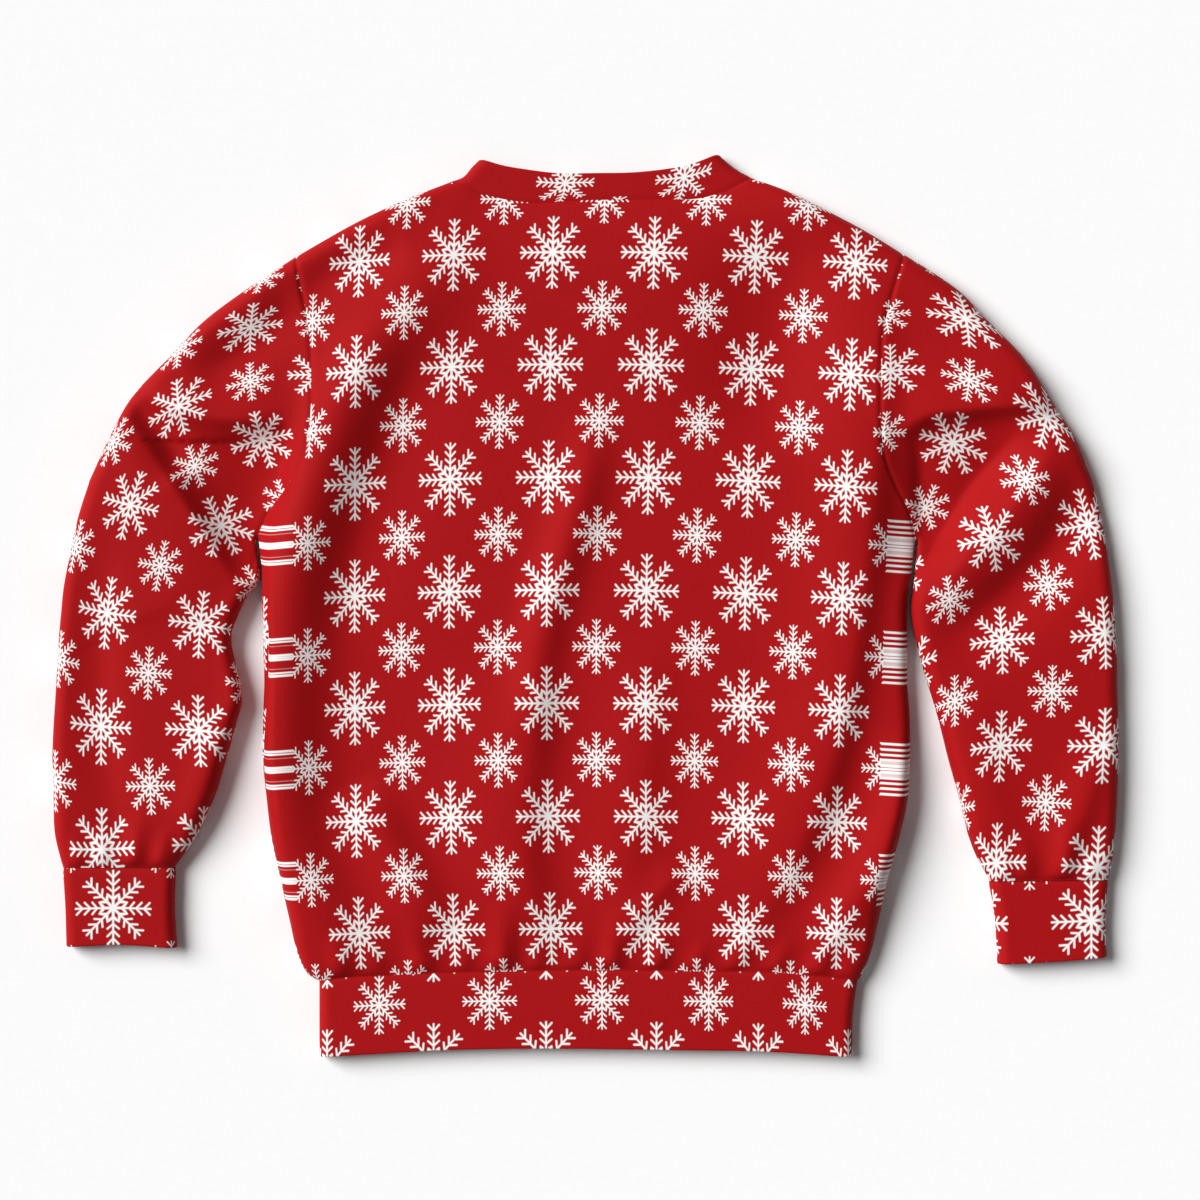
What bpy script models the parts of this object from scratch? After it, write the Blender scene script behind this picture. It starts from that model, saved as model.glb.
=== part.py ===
"""A crew-neck sweatshirt laid flat on its front, its back showing.

Eight cut pieces, each one thin wall: back, front, two sleeves folded flat as tubes, a neckband,
a hem band and two cuffs. X runs across the picture, Y from the hem to the neck, Z off the table.
Every size and table is in millimetres and becomes metres only where a mesh is made.
"""

import bmesh
import bpy
import numpy as np

# ---- Driving sizes ---------------------------------------------------------------------------
TO_METRES = 0.001
WELD = 1e-6  # in metres: points this close are one
ROUNDING = 1e-9  # more than the rounding error of a share
FLEECE_WALL = 2.0  # brushed fleece of the panels and sleeves
RIB_WALL = 2.6  # doubled rib of the bands
SEAM_GAP = 0.45  # between two pieces at a seam, measured across it
NECK_GAP = 0.55  # the same at the neck, where the seam turns
BODY_RISE = 22.0  # how high the panels and sleeves stand off the table
BAND_RISE = 13.0  # the same for the hem band and the cuffs
NECK_RISE = 13.0  # and for the neckband
EDGE_SHARE = 0.32  # height of a folded edge over the rise
TOP_ROLL = 0.82  # how far in from an edge the top still rounds, over the rise
UNDER_ROLL = 1.15  # how far in the underside still curls up, over the edge's height
PUFF_REACH = 24.0  # from a band's seam to where the cloth stands at its full height
NECK_REACH = 70.0
CREASE_REACH = 14.0  # from a band's seam to where a crease has its full height
BACK_COLUMNS, FRONT_COLUMNS = 26, 11  # between the rolls at the two sides
ARMHOLE_ROWS, SIDE_ROWS, ARM_ROWS = 8, 12, 9  # between the closer rows at their ends
ARMPIT_INSETS = (0, 4, 10, 18)  # the closer rows at the armpit
SEAM_INSETS = (0, 5, 11, 19, 30)  # and the closer rows above a band's seam
SLEEVE_COLUMNS, UNDERARM_COLUMNS = 5, 2
HEM_COLUMNS, HEM_UNDER_COLUMNS, CUFF_COLUMNS, CUFF_UNDER_COLUMNS = 16, 6, 3, 1
BAND_ROWS, NECK_ROWS = 4, 4
ROLL_ANGLES = (0, 18, 38, 60, 90)  # degrees round the top of a folded edge
CURL_ANGLES = (0, 40, 90)  # and round its underside
FLEECE_ROUGHNESS, RIB_ROUGHNESS = 0.8, 0.85

RED = (0.352, 0.010, 0.011, 1.0)

# ---- The outline, seen from above: columns x, y ----------------------------------------------
SHOULDER_LEFT = [(-233, 279), (-211, 292), (-182, 308), (-148, 324), (-111, 339)]
SHOULDER_RIGHT = [(133, 343), (162, 332), (194, 316), (224, 300), (255, 281)]
EAR_LEFT = [(-111, 339), (-98, 344), (-92, 351), (-85, 358)]  # the folds at the neckband's ends
EAR_RIGHT = [(133, 343), (125, 347), (116, 353), (106, 362)]
NECK_SEAM_BACK = [(-111, 339), (-101, 337), (-82, 329), (-54, 323), (-2, 324), (48, 325),
                  (98, 327), (115, 333), (133, 343)]
NECK_EDGE_BACK = [(-85, 358), (-69, 353), (-46, 349), (-21, 346), (6, 346), (43, 347),
                  (60, 349), (82, 353), (106, 362)]
NECK_SEAM_FRONT = [(-111, 339), (-99, 312), (-69, 278), (-29, 258), (11, 252), (51, 258),
                   (91, 278), (122, 314), (133, 343)]
NECK_EDGE_FRONT = [(-85, 358), (-77, 332), (-53, 302), (-21, 282), (11, 276), (43, 282),
                   (75, 303), (98, 334), (106, 362)]
ARMHOLE_LEFT = [(-233, 279), (-226, 246), (-221, 216), (-219, 179), (-220, 144), (-225, 120),
                (-236, 98), (-254, 75), (-264, 54)]
ARMHOLE_RIGHT = [(255, 281), (244, 246), (237, 218), (235, 180), (235, 144), (239, 116),
                 (248, 94), (259, 74), (265, 52)]
SIDE_LEFT = [(-264, 54), (-262, 39), (-260, 24), (-260, 4), (-259, -28), (-258, -60), (-259, -92),
             (-259, -124), (-256, -156), (-252, -188), (-245, -220), (-238, -252), (-230, -284),
             (-224, -296), (-216, -301)]
SIDE_RIGHT = [(265, 52), (262, 28), (258, 2), (258, -28), (258, -60), (260, -92), (260, -124),
              (258, -156), (251, -188), (242, -220), (235, -252), (227, -284), (220, -300)]
HEM_SEAM = [(-216, -301), (-193, -298), (-157, -296), (-109, -294), (-53, -293), (11, -292),
            (91, -293), (155, -294), (195, -298), (220, -300)]
HEM_END = [(-214, -362), (-165, -359), (-109, -356), (-29, -355), (59, -356), (155, -358),
           (214, -362)]
HEM_SIDE_LEFT = [(-214, -301.3), (-214, -332), (-214, -362)]
HEM_SIDE_RIGHT = [(218, -300.3), (214, -332), (214, -362)]

# The outer edge of each sleeve as far as the section that starts at the armpit: x, y
OVERARM_LEFT = [(-233, 279), (-250, 268), (-274, 252), (-306, 228), (-337, 196), (-366, 164),
                (-383, 132), (-398, 100)]
OVERARM_RIGHT = [(255, 281), (276, 268), (299, 252), (322, 228), (353, 196), (373, 164),
                 (393, 132), (406, 100)]
# Sections across each sleeve from there to the cuff: outer edge x, y, inner edge x, y
SLEEVE_LEFT = [
    (-398, 100, -264.5, 54), (-408, 68, -263.5, 36), (-414, 40, -263.5, 20),
    (-419, 14, -272, 5), (-421, -6, -280, -12), (-423, -28, -284, -28),
    (-424, -46, -281, -44), (-425, -64, -277, -60), (-426, -80, -275, -76),
    (-427, -95, -279, -92), (-428, -124, -288, -124), (-427, -156, -298, -156),
    (-426, -184, -313, -187), (-420, -210, -329, -210),
]  # fmt: skip
SLEEVE_RIGHT = [
    (406, 100, 265.5, 52), (414, 68, 263.5, 34), (419, 36, 261.5, 14),
    (423, 4, 259.5, -4), (425, -28, 264, -30), (426, -48, 268, -46),
    (426, -64, 273, -62), (427, -92, 282, -92), (427, -124, 290, -124),
    (426, -156, 299, -156), (424, -188, 307, -188), (422, -206, 314, -205),
    (419, -220, 323, -221),
]  # fmt: skip
CUFF_LEFT = [(-420, -210.5, -329, -210.5), (-418, -241, -330, -241), (-417, -274, -328, -275)]
CUFF_RIGHT = [(419, -220.5, 323, -221.5), (417, -252, 328, -252), (418, -282, 330, -288)]
CUFF_END_LEFT = [(-417, -274), (-373, -272), (-328, -275)]
CUFF_END_RIGHT = [(330, -288), (384, -285), (418, -282)]
CUFF_SEAM_LEFT, CUFF_SEAM_RIGHT = -210.0, -220.5
SLEEVES_FROM = 272.0  # |x| past which a low point belongs to a sleeve
NARROWEST = 3.0  # sleeve width over the rise, below which the closer columns shrink with it

# How far up over the left edge the front panel reaches: y, angle from the fold in degrees
LEFT_SEAM = [(-301, 0), (-290, 10), (-110, 10), (-68, 14), (-30, 34), (0, 46), (14, 48),
             (32, 10), (54, 0), (279, 0)]

# Creases that a hand could find: half width, height (a hollow is negative), then x, y along it
CREASES = [
    (17, 5.0, [(-113, 278), (-153, 236), (-187, 186), (-211, 140), (-226, 92), (-238, 44),
               (-241, -28), (-241, -108), (-236, -172), (-225, -228)]),
    (16, -2.5, [(-105, 228), (-149, 168), (-179, 108), (-197, 52), (-205, -28), (-206, -108),
                (-203, -180)]),
    (14, 4.5, [(3, 140), (-11, 84), (-27, 20), (-42, -44), (-50, -108), (-54, -172),
               (-51, -220)]),
    (13, -2.0, [(26, 124), (11, 68), (-3, 4), (-16, -68), (-21, -140), (-18, -220)]),
    (8, 3.0, [(-70, -212), (-68, -260), (-67, -300)]),
    (11, 3.0, [(-171, -156), (-161, -188), (-145, -224), (-125, -262)]),
    (14, 3.0, [(51, -148), (43, -196), (37, -236), (21, -290)]),
    (15, 5.0, [(189, -164), (171, -196), (143, -240), (105, -300)]),
    (11, -4.0, [(221, -196), (191, -236), (145, -292)]),
    (12, 4.0, [(237, -112), (229, -196), (207, -244), (175, -300)]),
    (16, 4.5, [(218, 212), (221, 164), (222, 108), (219, 52), (213, -12), (206, -76),
               (202, -132), (195, -180)]),
    (15, 1.6, [(109, 278), (75, 220), (83, 164)]),
    (10, 1.4, [(50, 12), (50, -68), (48, -148)]),
    (10, 3.0, [(-242, 271), (-269, 242), (-303, 218), (-331, 196)]),
    (12, -3.0, [(-229, 250), (-251, 217), (-283, 194), (-315, 177)]),
    (14, 5.0, [(-370, 170), (-350, 124), (-330, 80), (-310, 42), (-298, 4)]),
    (15, -9.0, [(-342, 144), (-305, 120), (-280, 80), (-269, 40), (-266, 10)]),
    (12, -4.0, [(-341, 144), (-305, 138), (-262, 132)]),
    (18, 1.6, [(-379, -28), (-341, -60), (-297, -97)]),
    (12, -5.0, [(261, 122), (291, 132), (319, 135), (358, 145)]),
    (14, -9.0, [(269, 124), (275, 80), (270, 36), (264, 10)]),
    (13, 6.0, [(374, 135), (339, 89), (317, 62), (294, 42), (277, 10), (269, -28)]),
    (15, -4.5, [(402, 111), (381, 68), (349, 34), (320, 2), (296, -38)]),
    (16, 2.0, [(408, 36), (371, -12), (331, -68)]),
]  # fmt: skip

# Gathers where the cloth is eased into a band: x at the seam, lean in x, reach, half width, height
GATHERS = [
    (-196, -6, 30, 8, 1.8), (-168, -8, 44, 9, 1.6), (-129, -8, 26, 8, 1.5), (-103, 4, 22, 7, 1.2),
    (-29, 2, 34, 9, 2.0), (-4, 3, 24, 7, 1.2), (22, 4, 40, 8, 1.7), (53, 5, 24, 8, 1.5),
    (79, 8, 30, 8, 2.0), (127, 10, 24, 7, 1.4), (155, 12, 26, 8, 1.8), (207, 8, 24, 7, 1.4),
    (-405, -3, 26, 7, 1.5), (-382, -2, 34, 8, 1.8), (-359, 4, 26, 7, 1.3), (-341, 6, 30, 6, 1.6),
    (337, -4, 26, 6, 1.4), (358, 2, 36, 7, 2.2), (382, 4, 26, 8, 1.4), (403, 3, 22, 7, 1.3),
]  # fmt: skip


# ---- Curves and patches in plan ---------------------------------------------------------------
def smooth(points, per_span=24):
    """A curve through the points: on each span a cubic whose end slopes are those of the chords
    on both sides, each weighted by the length of the other, and measured along the chords."""
    knots = np.array(points, float)
    chords = np.linalg.norm(np.diff(knots, axis=0), axis=1)
    along = np.concatenate([[0], np.cumsum(chords)])
    slopes = np.gradient(knots, along, axis=0, edge_order=1)
    share = np.linspace(0, 1, per_span, endpoint=False)[None, :, None]
    start, end = knots[:-1, None], knots[1:, None]
    leave = slopes[:-1, None] * chords[:, None, None]
    arrive = slopes[1:, None] * chords[:, None, None]
    spans = (
        (2 * share**3 - 3 * share**2 + 1) * start
        + (share**3 - 2 * share**2 + share) * leave
        + (3 * share**2 - 2 * share**3) * end
        + (share**3 - share**2) * arrive
    )
    return np.vstack([spans.reshape(-1, knots.shape[1]), knots[-1:]])


def joined(*curves):
    return np.vstack([curves[0]] + [curve[1:] for curve in curves[1:]])


def shares_of(curve):
    """How far along a curve each of its points is, from 0 to 1."""
    steps = np.linalg.norm(np.diff(curve, axis=0), axis=1)
    return np.concatenate([[0], np.cumsum(steps)]) / steps.sum()


def at(curve, share, shares=None):
    """The points of a curve at these shares of its length."""
    known = shares_of(curve) if shares is None else shares
    return np.stack([np.interp(share, known, curve[:, axis]) for axis in range(2)], axis=-1)


def length_of(curve):
    return np.linalg.norm(np.diff(curve, axis=0), axis=1).sum()


def by_length(curve):
    return lambda share: at(curve, share)


def spliced(curves, breaks):
    """Curves end to end as one function of a share, each filling its part between the breaks."""
    shares = [breaks[0] + shares_of(curves[0]) * (breaks[1] - breaks[0])]
    for curve, start, end in zip(curves[1:], breaks[1:], breaks[2:]):
        shares.append(start + shares_of(curve)[1:] * (end - start))
    whole, known = joined(*curves), np.concatenate(shares)
    return lambda share: at(whole, share, known)


def patch(top, bottom, left, right, across, down):
    """The plan points of a four-sided patch: lines from left to right and lines from top to
    bottom are added, and the flat sheet through the four corners is taken away once."""
    across_, down_ = across[..., None], down[..., None]
    corners = (
        (1 - across_) * (1 - down_) * left(0.0)
        + across_ * (1 - down_) * right(0.0)
        + (1 - across_) * down_ * left(1.0)
        + across_ * down_ * right(1.0)
    )
    rows = (1 - across_) * left(down) + across_ * right(down)
    columns = (1 - down_) * top(across) + down_ * bottom(across)
    return rows + columns - corners


def insets(angles, reach):
    """How far in from a folded edge the cloth is at each angle round its roll."""
    return reach * (1 - np.cos(np.radians(angles)))


def nearest(points, chains):
    """The distance in plan from each point to the closest of the chains' points."""
    flat = points.reshape(-1, 2)
    best = np.full(len(flat), np.inf)
    for chain in chains:
        for start in range(0, len(flat), 2000):
            some = flat[start : start + 2000]
            gaps = np.linalg.norm(some[:, None] - chain[None], axis=2).min(axis=1)
            best[start : start + 2000] = np.minimum(best[start : start + 2000], gaps)
    return best.reshape(points.shape[:-1])


def resampled(curve, step=0.4):
    return at(curve, np.linspace(0, 1, int(length_of(curve) / step) + 2))


def section_edges(sections):
    """The outer and inner edges of a tube from the table of its sections."""
    both = smooth(sections)
    return both[:, :2], both[:, 2:]


OUTER_LEFT, INNER_LEFT = section_edges(SLEEVE_LEFT)
OUTER_RIGHT, INNER_RIGHT = section_edges(SLEEVE_RIGHT)
CHAINS = [
    resampled(curve)
    for curve in (
        smooth(EAR_LEFT), smooth(SHOULDER_LEFT), smooth(OVERARM_LEFT), OUTER_LEFT,
        *section_edges(CUFF_LEFT), INNER_LEFT, smooth(SIDE_LEFT), smooth(HEM_SIDE_LEFT),
        smooth(EAR_RIGHT), smooth(SHOULDER_RIGHT), smooth(OVERARM_RIGHT), OUTER_RIGHT,
        *section_edges(CUFF_RIGHT), INNER_RIGHT, smooth(SIDE_RIGHT), smooth(HEM_SIDE_RIGHT),
    )
]  # fmt: skip
NECK_SEAM_LINE = resampled(smooth(NECK_SEAM_BACK))
HEM_SEAM_LINE = smooth(HEM_SEAM)
CREASE_LINES = [(half, height, resampled(smooth(line), 3.0)) for half, height, line in CREASES]


# ---- How high the cloth lies --------------------------------------------------------------------
def ramp(distance, reach):
    """0 at a seam and 1 from reach on, leaving the seam steeply, as gathered cloth does."""
    return 1 - (1 - np.clip(distance / reach, 0, 1)) ** 2


def above_band(plan):
    """How far up the garment from its hem or cuff seam a point is."""
    x, y = plan[..., 0], plan[..., 1]
    hem = np.interp(x, HEM_SEAM_LINE[:, 0], HEM_SEAM_LINE[:, 1])
    cuff = np.where(x < 0, CUFF_SEAM_LEFT, CUFF_SEAM_RIGHT)
    return y - np.where(np.abs(x) > SLEEVES_FROM, cuff, hem)


def creases(plan):
    """The height that creases add: each is a Gaussian across its line and fades at both ends."""
    total = np.zeros(plan.shape[:-1])
    for half, height, line in CREASE_LINES:
        gaps = np.linalg.norm(plan[..., None, :] - line, axis=-1)
        share = gaps.argmin(axis=-1) / (len(line) - 1)
        fade = 1 - np.abs(2 * share - 1) ** 3
        total += height * fade * np.exp(-((gaps.min(axis=-1) / half) ** 2))
    up = above_band(plan)
    for x, lean, reach, half, height in GATHERS:
        middle = x + lean * np.clip(up / reach, 0, 1)
        fade = np.clip(1 - up / reach, 0, 1) * ramp(up, 6)
        total += height * fade * np.exp(-(((plan[..., 0] - middle) / half) ** 2))
    return total * ramp(up, CREASE_REACH)


def rise_of(plan, band_rise):
    """The height of plain cloth away from its edges, without creases."""
    if band_rise is not None:
        return np.full(plan.shape[:-1], band_rise)
    near_band = 1 - ramp(above_band(plan), PUFF_REACH)
    near_neck = 1 - ramp(nearest(plan, [NECK_SEAM_LINE]), NECK_REACH)
    return BODY_RISE - (BODY_RISE - BAND_RISE) * near_band - (BODY_RISE - NECK_RISE) * near_neck


def rounded(share):
    """A quarter circle's height over its width, begun a little in to start less steeply."""
    begin = 0.01
    lowest = np.sqrt(1 - (1 - begin) ** 2)
    inside = begin + (1 - begin) * np.clip(share, 0, 1)
    return (np.sqrt(1 - (1 - inside) ** 2) - lowest) / (1 - lowest)


def lifted(plan, on_top, on_fold, band_rise=None):
    """The outer surface over plan points. on_top says which points are on the upper layer, and
    on_fold which lie right on a folded edge."""
    rise = rise_of(plan, band_rise)
    edge = EDGE_SHARE * rise
    inward = np.where(on_fold, 0, nearest(plan, CHAINS))
    crown = rise + (creases(plan) if band_rise is None else 0)
    top = edge + (crown - edge) * rounded(inward / (TOP_ROLL * rise))
    under = edge * (1 - rounded(inward / (UNDER_ROLL * edge)))
    return np.dstack([plan, np.where(on_top, top, under)])


# ---- Walls --------------------------------------------------------------------------------------
def tangents(grid, axis):
    """Unit slopes along one direction of a grid, those of a circle through three points."""
    grid = np.moveaxis(grid, axis, 0)
    ahead = grid[1:] - grid[:-1]
    sizes = np.linalg.norm(ahead, axis=-1, keepdims=True)
    units = ahead / sizes
    middle = units[:-1] * sizes[1:] + units[1:] * sizes[:-1]
    middle = middle / np.linalg.norm(middle, axis=-1, keepdims=True)
    first, last = units[0], units[-1]
    start = 2 * (first * middle[0]).sum(-1, keepdims=True) * first - middle[0]
    end = 2 * (last * middle[-1]).sum(-1, keepdims=True) * last - middle[-1]
    return np.moveaxis(np.concatenate([start[None], middle, end[None]]), 0, axis)


def unit(vectors):
    return vectors / np.linalg.norm(vectors, axis=-1, keepdims=True)


def normals_of(outer):
    return unit(np.cross(tangents(outer, 0), tangents(outer, 1)))


def without_part(normals, slopes):
    """The normals turned into the upright plane of a seam with these slopes in plan."""
    across = np.stack([-slopes[..., 1], slopes[..., 0], 0 * slopes[..., 0]], axis=-1)
    return unit(normals - (normals * across).sum(-1, keepdims=True) * across)


def seam_normals(normals, plan):
    """The normals along a seam without their part across it, so that the two walls end face to
    face, and level at its ends, which lie on folds."""
    slopes = tangents(plan, 0)
    turned = without_part(normals, slopes)
    turned[0], turned[-1] = [*-slopes[0], 0], [*slopes[-1], 0]
    return turned


def round_seam(normals, plan, fold):
    """The same for a row round a folded tube, whose two layers meet at the column fold."""
    for layer in (slice(fold, None), slice(0, fold + 1)):
        normals[layer] = seam_normals(normals[layer], plan[layer])
    normals[-1] = normals[0]


def wall(name, outer, normals, thickness, turn, closed_from=None):
    """A solid wall: the grid of outer points, the same moved in by the thickness, and rims that
    join the two along the open edges. turn is 1 where the grid faces up, with its rows going down
    the picture and its columns to the right, and -1 where it faces the other way. From the row
    closed_from on, the last column lies on the first and the grid is a tube."""
    inner = outer - thickness * normals
    rows, columns = outer.shape[:2]
    index = np.arange(rows * columns).reshape(rows, columns)
    quads = np.stack([index[:-1, :-1], index[1:, :-1], index[1:, 1:], index[:-1, 1:]], axis=-1)
    quads = quads.reshape(-1, 4)
    under = quads[:, ::-1] + rows * columns
    open_rows = index if closed_from is None else index[: closed_from + 1]
    rims = [index[0], index[-1][::-1], open_rows[::-1, 0], open_rows[:, -1]]
    sides = [
        np.stack([rim[:-1], rim[1:], rim[1:] + rows * columns, rim[:-1] + rows * columns], axis=-1)
        for rim in rims
    ]
    faces = np.vstack([quads, under] + sides)
    faces = faces[:, ::turn]
    mesh = bpy.data.meshes.new(name)
    points = np.vstack([outer.reshape(-1, 3), inner.reshape(-1, 3)]) * TO_METRES
    mesh.from_pydata(points.tolist(), [], faces.tolist())
    weld(mesh)
    mesh.shade_smooth()
    mesh.set_sharp_from_angle(angle=np.radians(60))
    piece = bpy.data.objects.new(name, mesh)
    bpy.context.scene.collection.objects.link(piece)
    return piece


def weld(mesh):
    """Makes one point of those that coincide, where a tube closes or a grid ends in a point."""
    shape = bmesh.new()
    shape.from_mesh(mesh)
    bmesh.ops.remove_doubles(shape, verts=shape.verts, dist=WELD)
    shape.to_mesh(mesh)
    shape.free()


def finish(piece, roughness):
    """The piece's own material."""
    material = bpy.data.materials.new(piece.name + "_cloth")
    material.use_nodes = True
    shader = material.node_tree.nodes["Principled BSDF"]
    shader.inputs["Base Color"].default_value = RED
    shader.inputs["Roughness"].default_value = roughness
    shader.inputs["Metallic"].default_value = 0.0
    piece.data.materials.append(material)


def clear_scene():
    for old in list(bpy.data.objects):
        bpy.data.objects.remove(old)


def spread(start, end, length, count):
    """Shares of a length: the start's insets, evenly spaced ones, then the end's."""
    start, end = np.array(start), length - np.array(end)[::-1]
    return np.concatenate([start, np.linspace(start[-1], end[0], count + 2)[1:-1], end]) / length


# ---- Back and front panels ----------------------------------------------------------------------
TOP_INSETS = insets(np.array(ROLL_ANGLES), TOP_ROLL * BODY_RISE)
ARMHOLE_LENGTH = length_of(smooth(ARMHOLE_LEFT))
SIDE_LENGTH = length_of(smooth(SIDE_LEFT))
ARMHOLE_SHARES = spread(TOP_INSETS, ARMPIT_INSETS, ARMHOLE_LENGTH, ARMHOLE_ROWS)
SIDE_SHARES = spread(ARMPIT_INSETS, SEAM_INSETS, SIDE_LENGTH, SIDE_ROWS)
ARM_SHARES = spread(ARMPIT_INSETS, SEAM_INSETS, length_of(INNER_LEFT), ARM_ROWS)
AT_ARMPIT = ARMHOLE_LENGTH / (ARMHOLE_LENGTH + SIDE_LENGTH)
ARMPIT_ROW = len(ARMHOLE_SHARES) - 1


def roll_insets(angles):
    """Insets from a folded edge for angles from straight down, -90, to straight up, 90."""
    over = insets(angles, TOP_ROLL * BODY_RISE)
    below = insets(angles, UNDER_ROLL * EDGE_SHARE * BODY_RISE)
    return np.where(angles > 0, over, below)


def panel_row(width, neck, columns, seam_angle, upright):
    """Shares across a panel: round the left roll from the side seam on, evenly to the neck's
    start, its end and the right roll, and round that."""
    turns = np.array(ROLL_ANGLES) / 90
    left = roll_insets(seam_angle + turns * (upright * 90 - seam_angle)) / width
    right = 1 - roll_insets(upright * 90 * turns)[::-1] / width
    beside = int(columns * neck[0])
    stops = (left[-1], neck[0], neck[1], right[0])
    counts = (beside, columns - 2 * beside, beside)
    middle = [np.linspace(a, b, count + 2)[1:] for a, b, count in zip(stops, stops[1:], counts)]
    return np.concatenate([left, middle[0], middle[1], middle[2], right[1:]])


def neck_ends(neck_points):
    """Where along a panel's upper edge its neck starts and ends, measured across."""
    first, last = SHOULDER_LEFT[0][0], SHOULDER_RIGHT[-1][0]
    return [(neck_points[end][0] - first) / (last - first) for end in (0, -1)]


def neck_columns(neck_points, columns, upright):
    """Which of a panel's columns end at the neck, and where along the neck seam."""
    start, end = neck_ends(neck_points)
    width = SHOULDER_RIGHT[-1][0] - SHOULDER_LEFT[0][0]
    first = panel_row(width, (start, end), columns, 0.0, upright)
    on_neck = (first > start - ROUNDING) & (first < end + ROUNDING)
    return on_neck, (first[on_neck] - start) / (end - start)


def build_panel(name, neck_points, columns, upright):
    """The back, upright 1, or the front, -1, which lies on the table."""
    down = AT_ARMPIT + SIDE_SHARES[1:] * (1 - AT_ARMPIT)
    down = np.concatenate([ARMHOLE_SHARES * AT_ARMPIT, down])
    left = spliced([smooth(ARMHOLE_LEFT), smooth(SIDE_LEFT)], (0, AT_ARMPIT, 1))
    right = spliced([smooth(ARMHOLE_RIGHT), smooth(SIDE_RIGHT)], (0, AT_ARMPIT, 1))
    neck = neck_ends(neck_points)
    edges = [smooth(SHOULDER_LEFT), smooth(neck_points), smooth(SHOULDER_RIGHT)]
    top = spliced(edges, (0, *neck, 1))
    widths = right(down)[:, 0] - left(down)[:, 0]
    angles = np.interp(left(down)[:, 1], *np.transpose(LEFT_SEAM))
    across = np.array([panel_row(w, neck, columns, a, upright) for w, a in zip(widths, angles)])
    down = np.broadcast_to(down[:, None], across.shape)
    plan = patch(top, by_length(HEM_SEAM_LINE), left, right, across, down)

    at_side = np.zeros(across.shape, bool)
    at_side[ARMPIT_ROW:, [0, -1]] = True
    at_side[0] = (across[0] <= neck[0]) | (across[0] >= neck[1])
    on_fold = at_side.copy()
    on_fold[angles > 0, 0] = False
    turns = angles[:, None] + np.array(ROLL_ANGLES) / 90 * (-90 - angles[:, None])
    on_top = np.full(across.shape, upright > 0)
    on_top[ARMPIT_ROW:, : len(ROLL_ANGLES)] |= turns[ARMPIT_ROW:] > 0
    outer = lifted(plan, on_top, on_fold)
    outer[at_side, 2] += upright * SEAM_GAP / 2

    normals = normals_of(outer) * upright
    normals[on_fold, 2] = 0
    over = np.radians(angles)
    roll = np.stack([-(1 - EDGE_SHARE) * np.cos(over), 0 * over, TOP_ROLL * np.sin(over)], axis=-1)
    normals[angles > 0, 0] = roll[angles > 0]
    on_neck = neck_columns(neck_points, columns, upright)[0]
    armhole = slice(ARMPIT_ROW + 1)
    for seam in ((0, on_neck), (armhole, 0), (armhole, -1), (-1,)):
        normals[seam] = seam_normals(normals[seam], plan[seam])
    piece = wall(name, outer, unit(normals), FLEECE_WALL, upright)
    finish(piece, FLEECE_ROUGHNESS)


# ---- Sleeves, cuffs and hem band: tubes folded flat ----------------------------------------------
def tube_row(width, rise, over_count, under_count):
    """Shares round a flattened tube: over the top from its first fold to its second one, and back
    below."""
    over = insets(np.array(ROLL_ANGLES), TOP_ROLL * rise)
    under = insets(np.array(CURL_ANGLES), UNDER_ROLL * EDGE_SHARE * rise)
    upper = spread(over, over, width, over_count)
    lower = spread(under, under, width, under_count)[::-1]
    return np.concatenate([upper, lower[1:]])


def layers_of(over_count, columns):
    """The column of a tube's second fold, and which columns are on its upper layer."""
    fold = 2 * len(ROLL_ANGLES) + over_count - 1
    return fold, np.arange(columns) <= fold


def build_sleeve(name, armhole, overarm, sections, turn):
    """A sleeve as rows from the body's side out over its top and back below. As far as the armpit
    the rows end at the armhole seam, and past it each is a closed ring. turn is 1 or -1 for the
    sleeve at the right or at the left of the picture."""
    outer_edge, inner_edge = section_edges(sections)
    seam = by_length(smooth(armhole))(ARMHOLE_SHARES)
    slopes = tangents(seam, 0)
    seam = seam + turn * SEAM_GAP * np.stack([-slopes[:, 1], slopes[:, 0]], axis=-1)
    inner = joined(seam, by_length(inner_edge)(ARM_SHARES))
    outer = joined(by_length(smooth(overarm))(ARMHOLE_SHARES), by_length(outer_edge)(ARM_SHARES))
    outer[0] = inner[0]
    widths = np.maximum(np.linalg.norm(outer - inner, axis=1), NARROWEST * BODY_RISE)
    across = [tube_row(width, BODY_RISE, SLEEVE_COLUMNS, UNDERARM_COLUMNS) for width in widths]
    across = np.array(across)
    plan = inner[:, None] + across[..., None] * (outer - inner)[:, None]

    fold, on_top = layers_of(SLEEVE_COLUMNS, across.shape[1])
    on_fold = np.zeros(across.shape, bool)
    on_fold[:, fold] = on_fold[0] = True
    on_fold[ARMPIT_ROW:, [0, -1]] = True
    surface = lifted(plan, on_top, on_fold)
    normals = np.zeros(surface.shape)
    normals[1:] = unit(np.cross(tangents(surface, 0)[1:], tangents(surface[1:], 1))) * turn
    normals[:, fold, 2] = 0
    narrow = np.linalg.norm(outer - inner, axis=1) < 2 * FLEECE_WALL
    for row in np.flatnonzero(narrow)[1:]:
        normals[row] = without_part(normals[row], slopes[row])
    close_rings(normals[ARMPIT_ROW:])
    for edge in (0, -1):
        seam_part = (slice(1, ARMPIT_ROW + 1), edge)
        normals[seam_part] = seam_normals(normals[seam_part], plan[seam_part])
    normals[0] = [*-slopes[0], 0]
    round_seam(normals[-1], plan[-1], fold)
    piece = wall(name, surface, unit(normals), FLEECE_WALL, turn, closed_from=ARMPIT_ROW)
    finish(piece, FLEECE_ROUGHNESS)


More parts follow.
